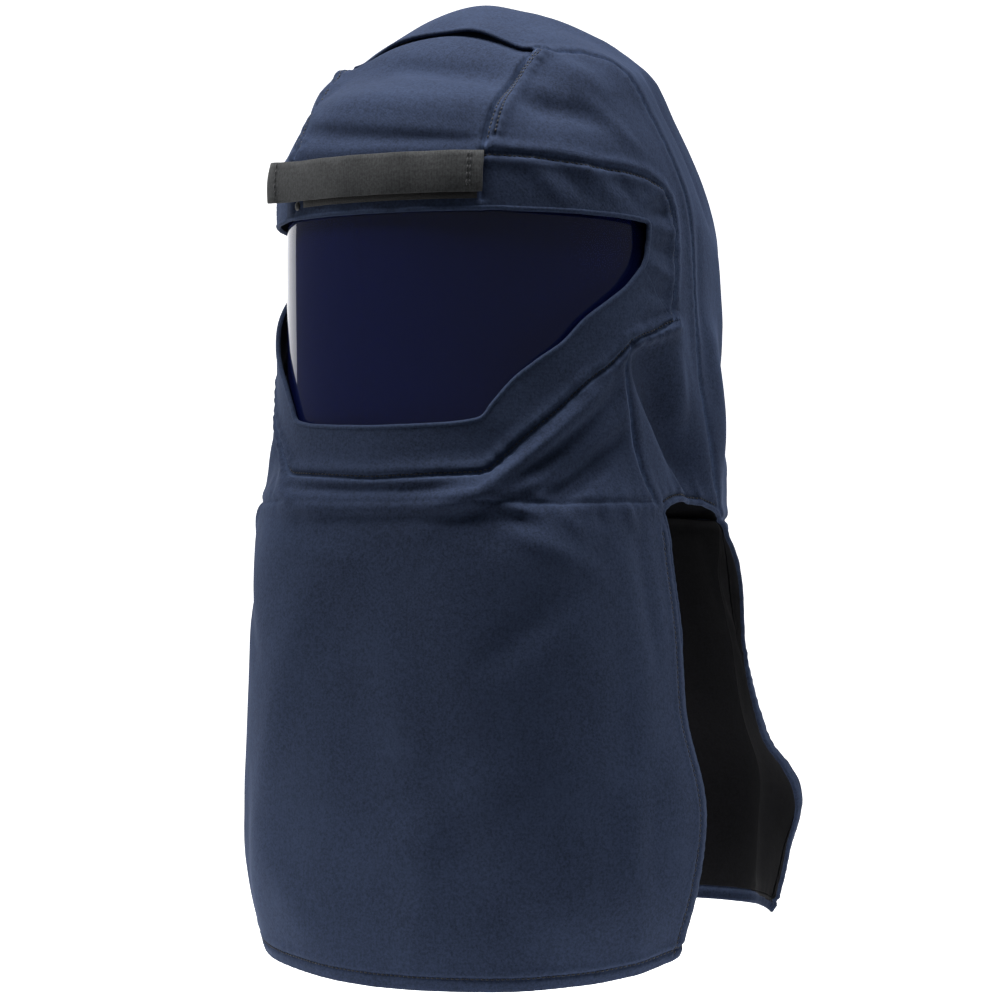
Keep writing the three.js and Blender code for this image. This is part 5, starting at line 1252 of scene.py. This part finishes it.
class HOOD_OT_brow(bpy.types.Operator):
    """Brow strap, hook tape and stud"""

    bl_idname = "hood.brow"
    bl_label = "Brow strap"

    def execute(self, context):
        made, stuff = pattern(), materials()
        cloth = made.cloth
        sizes = cloth.sizes
        half = sizes.crown_half
        tape_width, tape_lift, tape_wall = 27, 1.5, 1.1
        tape = self.band(cloth, sizes.strap_top + 5, tape_width, half - 3, 13 - half, 40, 8)
        normals = cloth.normal(tape, cloth.folded)
        outer = cloth.folded(tape) + normals * tape_lift
        unmarked, hooks = np.zeros(tape.shape[:2]), stuff["hooks"]
        obj = sheet("hook_tape_band", outer, normals, tape_wall, unmarked, hooks, hooks, 0.2)
        stand_for(obj, "hook_tape")
        overhang, strap_wall = 13, 1.3
        strap = self.band(cloth, sizes.strap_top, sizes.strap_width, half, -half - overhang, 90, 8)
        places, normals = cloth.folded(strap), cloth.normal(strap, cloth.folded)
        run = np.linspace(0, 1, strap.shape[1])[None]
        raised = np.clip((run - 0.7) / 0.3, 0, 1)
        wave = 0.4 * np.sin(run * 17) * np.sin(run * 5 + 1)
        hem = 1.5 * smoothstep(run, 0.948, 0.962)
        lift = 4.0 + 9 * raised**2 + wave * (1 - np.abs(2 * run - 1) ** 6) + hem
        across = np.linspace(-1, 1, strap.shape[0])[:, None]
        bulge = 1.3 * (1 - across**2) + 0.5 * np.sin(run * 31 + 2 * across) * across**2
        outer = places + normals * (lift + bulge)[..., None]
        unmarked, webbing = np.zeros(strap.shape[:2]), stuff["webbing"]
        obj = sheet("brow_strap_band", outer, normals, strap_wall, unmarked, webbing, webbing, 0.3)
        stand_for(obj, "brow_strap")
        MADE["strap"] = (outer, normals)
        self.stud(cloth, stuff)
        return {"FINISHED"}

    def band(self, cloth, top, width, left, right, columns, rows):
        """Grid of a level band across the brow."""
        grid = []
        for drop in np.linspace(top, top + width, rows + 1):
            start = float(angle_of(cloth.at_across(left, drop)))
            end = float(angle_of(cloth.at_across(right, drop)))
            grid.append(polar(np.linspace(start, end, columns + 1), float(cloth.station_at(drop))))
        return np.array(grid)

    def stud(self, cloth, stuff):
        set_back, drop = 5, 153
        seat = cloth.at_across(set_back - cloth.sizes.crown_half, drop)
        place, normal = cloth.folded(seat), cloth.normal(seat, cloth.folded)
        profile = [(0, 0), (3.2, 0), (3.2, 0.6), (2.9, 1), (2.2, 1.35), (1.9, 1.3), (1.2, 1.6), (0, 1.8)]
        side = np.cross(normal, [0, 0, 1.0])
        side /= np.linalg.norm(side)
        other = np.cross(normal, side)
        vertices, sides, lift = [], 28, 0.5
        for radius, height in profile:
            for k in range(sides):
                turn = 2 * math.pi * k / sides
                spoke = side * math.cos(turn) + other * math.sin(turn)
                vertices.append(place + normal * (lift + height) + spoke * max(radius, 0.01))
        rings = [range(i * sides, (i + 1) * sides) for i in range(len(profile))]
        obj = make_object("strap_stud_head", np.array(vertices), ring_faces(rings[::-1]))
        fix_winding(obj)
        name_material(obj, stuff["stud"])
        stand_for(obj, "strap_stud")


class HOOD_OT_stitching(bpy.types.Operator):
    """Separate stitches along the facings, the crown seams, the hems and the strap's ends"""

    bl_idname = "hood.stitching"
    bl_label = "Stitching"

    def execute(self, context):
        made, stuff = pattern(), materials()
        cloth = made.cloth
        runs = []
        for line in made.stitches:
            places, normals, _ = cloth.dressed(densify(line, 3))
            runs.append((places, normals))
        thread("cloth_stitches", runs, stuff["thread"])
        outer, normals = MADE["strap"]
        sewn = []
        for column in (4, 5, 86):
            sewn.append((outer[:, column], normals[:, column]))
        thread("strap_stitches", sewn, stuff["thread"], pitch=5, length=3.8)
        return {"FINISHED"}


class HOOD_OT_stage(bpy.types.Operator):
    """Pale floor that curves up all round, soft lights and the camera"""

    bl_idname = "hood.stage"
    bl_label = "Stage"

    def execute(self, context):
        self.backdrop()
        self.light("key", place=(-1.05, -1.15, 2.75), size=1.2, power=9.3, spread=46, aim=0.1)
        self.light("top", place=(0.5, -0.1, 2.0), size=1.2, power=72)
        self.light("side", place=(2.4, -0.9, 1.7), size=1.0, power=5)
        world = bpy.data.worlds.new("studio")
        world.use_nodes = True
        world.node_tree.nodes["Background"].inputs["Color"].default_value = (0.9, 0.95, 1, 1)
        world.node_tree.nodes["Background"].inputs["Strength"].default_value = 0.12
        bpy.context.scene.world = world
        bpy.context.scene.view_settings.view_transform = "Standard"
        self.camera()
        return {"FINISHED"}

    def backdrop(self):
        """White paper behind the hood, and a pale dome that only the camera sees in other views."""
        away = np.array([-math.sin(VIEW_TURN), math.cos(VIEW_TURN)])
        aside = np.array([math.cos(VIEW_TURN), math.sin(VIEW_TURN)])
        profile = [(-0.35, 0), (1, 0), (3.2, 0)] + [
            (3.2 + 2.4 * math.sin(t), 2.4 - 2.4 * math.cos(t)) for t in np.linspace(0.15, math.pi / 2, 12)
        ] + [(5.6, 6.8)]
        places = [(*(d * away + w * aside), h) for d, h in profile for w in (-4.8, 1.7)]
        faces = [(2 * i, 2 * i + 1, 2 * i + 3, 2 * i + 2) for i in range(len(profile) - 1)]
        self.paper("backdrop_sweep", places, faces, 0.92)
        rings, sides = [(0.01, 0), (5, 0), (7.5, 1), (9, 4), (8, 8), (4, 11), (0.01, 12)], 64
        circle = [2 * math.pi * k / sides for k in range(sides)]
        places = [(r * math.cos(t), r * math.sin(t), h - 0.01) for r, h in rings for t in circle]
        faces = ring_faces([range(i * sides, (i + 1) * sides) for i in range(len(rings))][::-1])
        dome = self.paper("backdrop_dome", places, faces, 1.0)
        dome.visible_diffuse = dome.visible_glossy = dome.visible_transmission = dome.visible_shadow = False

    def paper(self, name, places, faces, glow):
        obj = make_object(name, np.array(places) * 1000 - np.array([0, 0, 800]), faces)
        material, tree, shader = new_material(name + "_matt_paper", 0.95)
        noise = add_node(tree, "ShaderNodeTexNoise", Scale=1.5)
        tone = layered(tree, (0.9, 0.9, 0.9, 1), (noise, 0, 1, 1, (0.93, 0.93, 0.93, 1)))
        tree.links.new(tone, shader.inputs["Base Color"])
        shader.inputs["Emission Color"].default_value = (1, 1, 1, 1)
        shader.inputs["Emission Strength"].default_value = glow
        name_material(obj, material)
        return obj

    def light(self, name, place, size, power, spread=180, aim=-0.3):
        data = bpy.data.lights.new(name, "AREA")
        data.shape = "DISK"
        data.size = size
        data.energy = power
        data.spread = math.radians(spread)
        obj = bpy.data.objects.new(name, data)
        obj.location = place
        obj.rotation_euler = (Vector((0, 0, aim)) - Vector(place)).to_track_quat("-Z", "Y").to_euler()
        obj.visible_camera = False
        bpy.context.scene.collection.objects.link(obj)

    def camera(self):
        turn, distance, height = VIEW_TURN, 2.3, -0.3576
        data = bpy.data.cameras.new("camera")
        data.sensor_width = 36
        data.lens = 3.151 * data.sensor_width
        data.shift_x = 0.016
        data.clip_end = 50
        obj = bpy.data.objects.new("camera", data)
        obj.location = (distance * math.sin(turn), -distance * math.cos(turn), height)
        obj.rotation_euler = (math.pi / 2, 0, turn)
        bpy.context.scene.collection.objects.link(obj)
        bpy.context.scene.camera = obj


OPERATORS = (
    HOOD_OT_crown, HOOD_OT_sides, HOOD_OT_facings, HOOD_OT_front, HOOD_OT_back, HOOD_OT_bindings,
    HOOD_OT_shield, HOOD_OT_brow, HOOD_OT_stitching, HOOD_OT_stage,
)


class HOOD_PT_sidebar(bpy.types.Panel):
    """Lists the pieces of the hood with its sizes and colours"""

    bl_idname = "HOOD_PT_sidebar"
    bl_label = "Arc flash hood"
    bl_space_type = "VIEW_3D"
    bl_region_type = "UI"
    bl_category = "Hood"

    def draw(self, context):
        for operator in OPERATORS:
            self.layout.operator(operator.bl_idname)
        for group in (context.scene.hood_sizes, context.scene.hood_colours):
            for name in group.__annotations__:
                self.layout.prop(group, name)


CLASSES = (HoodSizes, HoodColours, *OPERATORS, HOOD_PT_sidebar)


def register():
    for cls in CLASSES:
        bpy.utils.register_class(cls)
    bpy.types.Scene.hood_sizes = bpy.props.PointerProperty(type=HoodSizes)
    bpy.types.Scene.hood_colours = bpy.props.PointerProperty(type=HoodColours)


def unregister():
    del bpy.types.Scene.hood_colours
    del bpy.types.Scene.hood_sizes
    for cls in reversed(CLASSES):
        bpy.utils.unregister_class(cls)


def main():
    register()
    for operator in OPERATORS:
        group, name = operator.bl_idname.split(".")
        getattr(getattr(bpy.ops, group), name)()


if __name__ == "__main__":
    main()
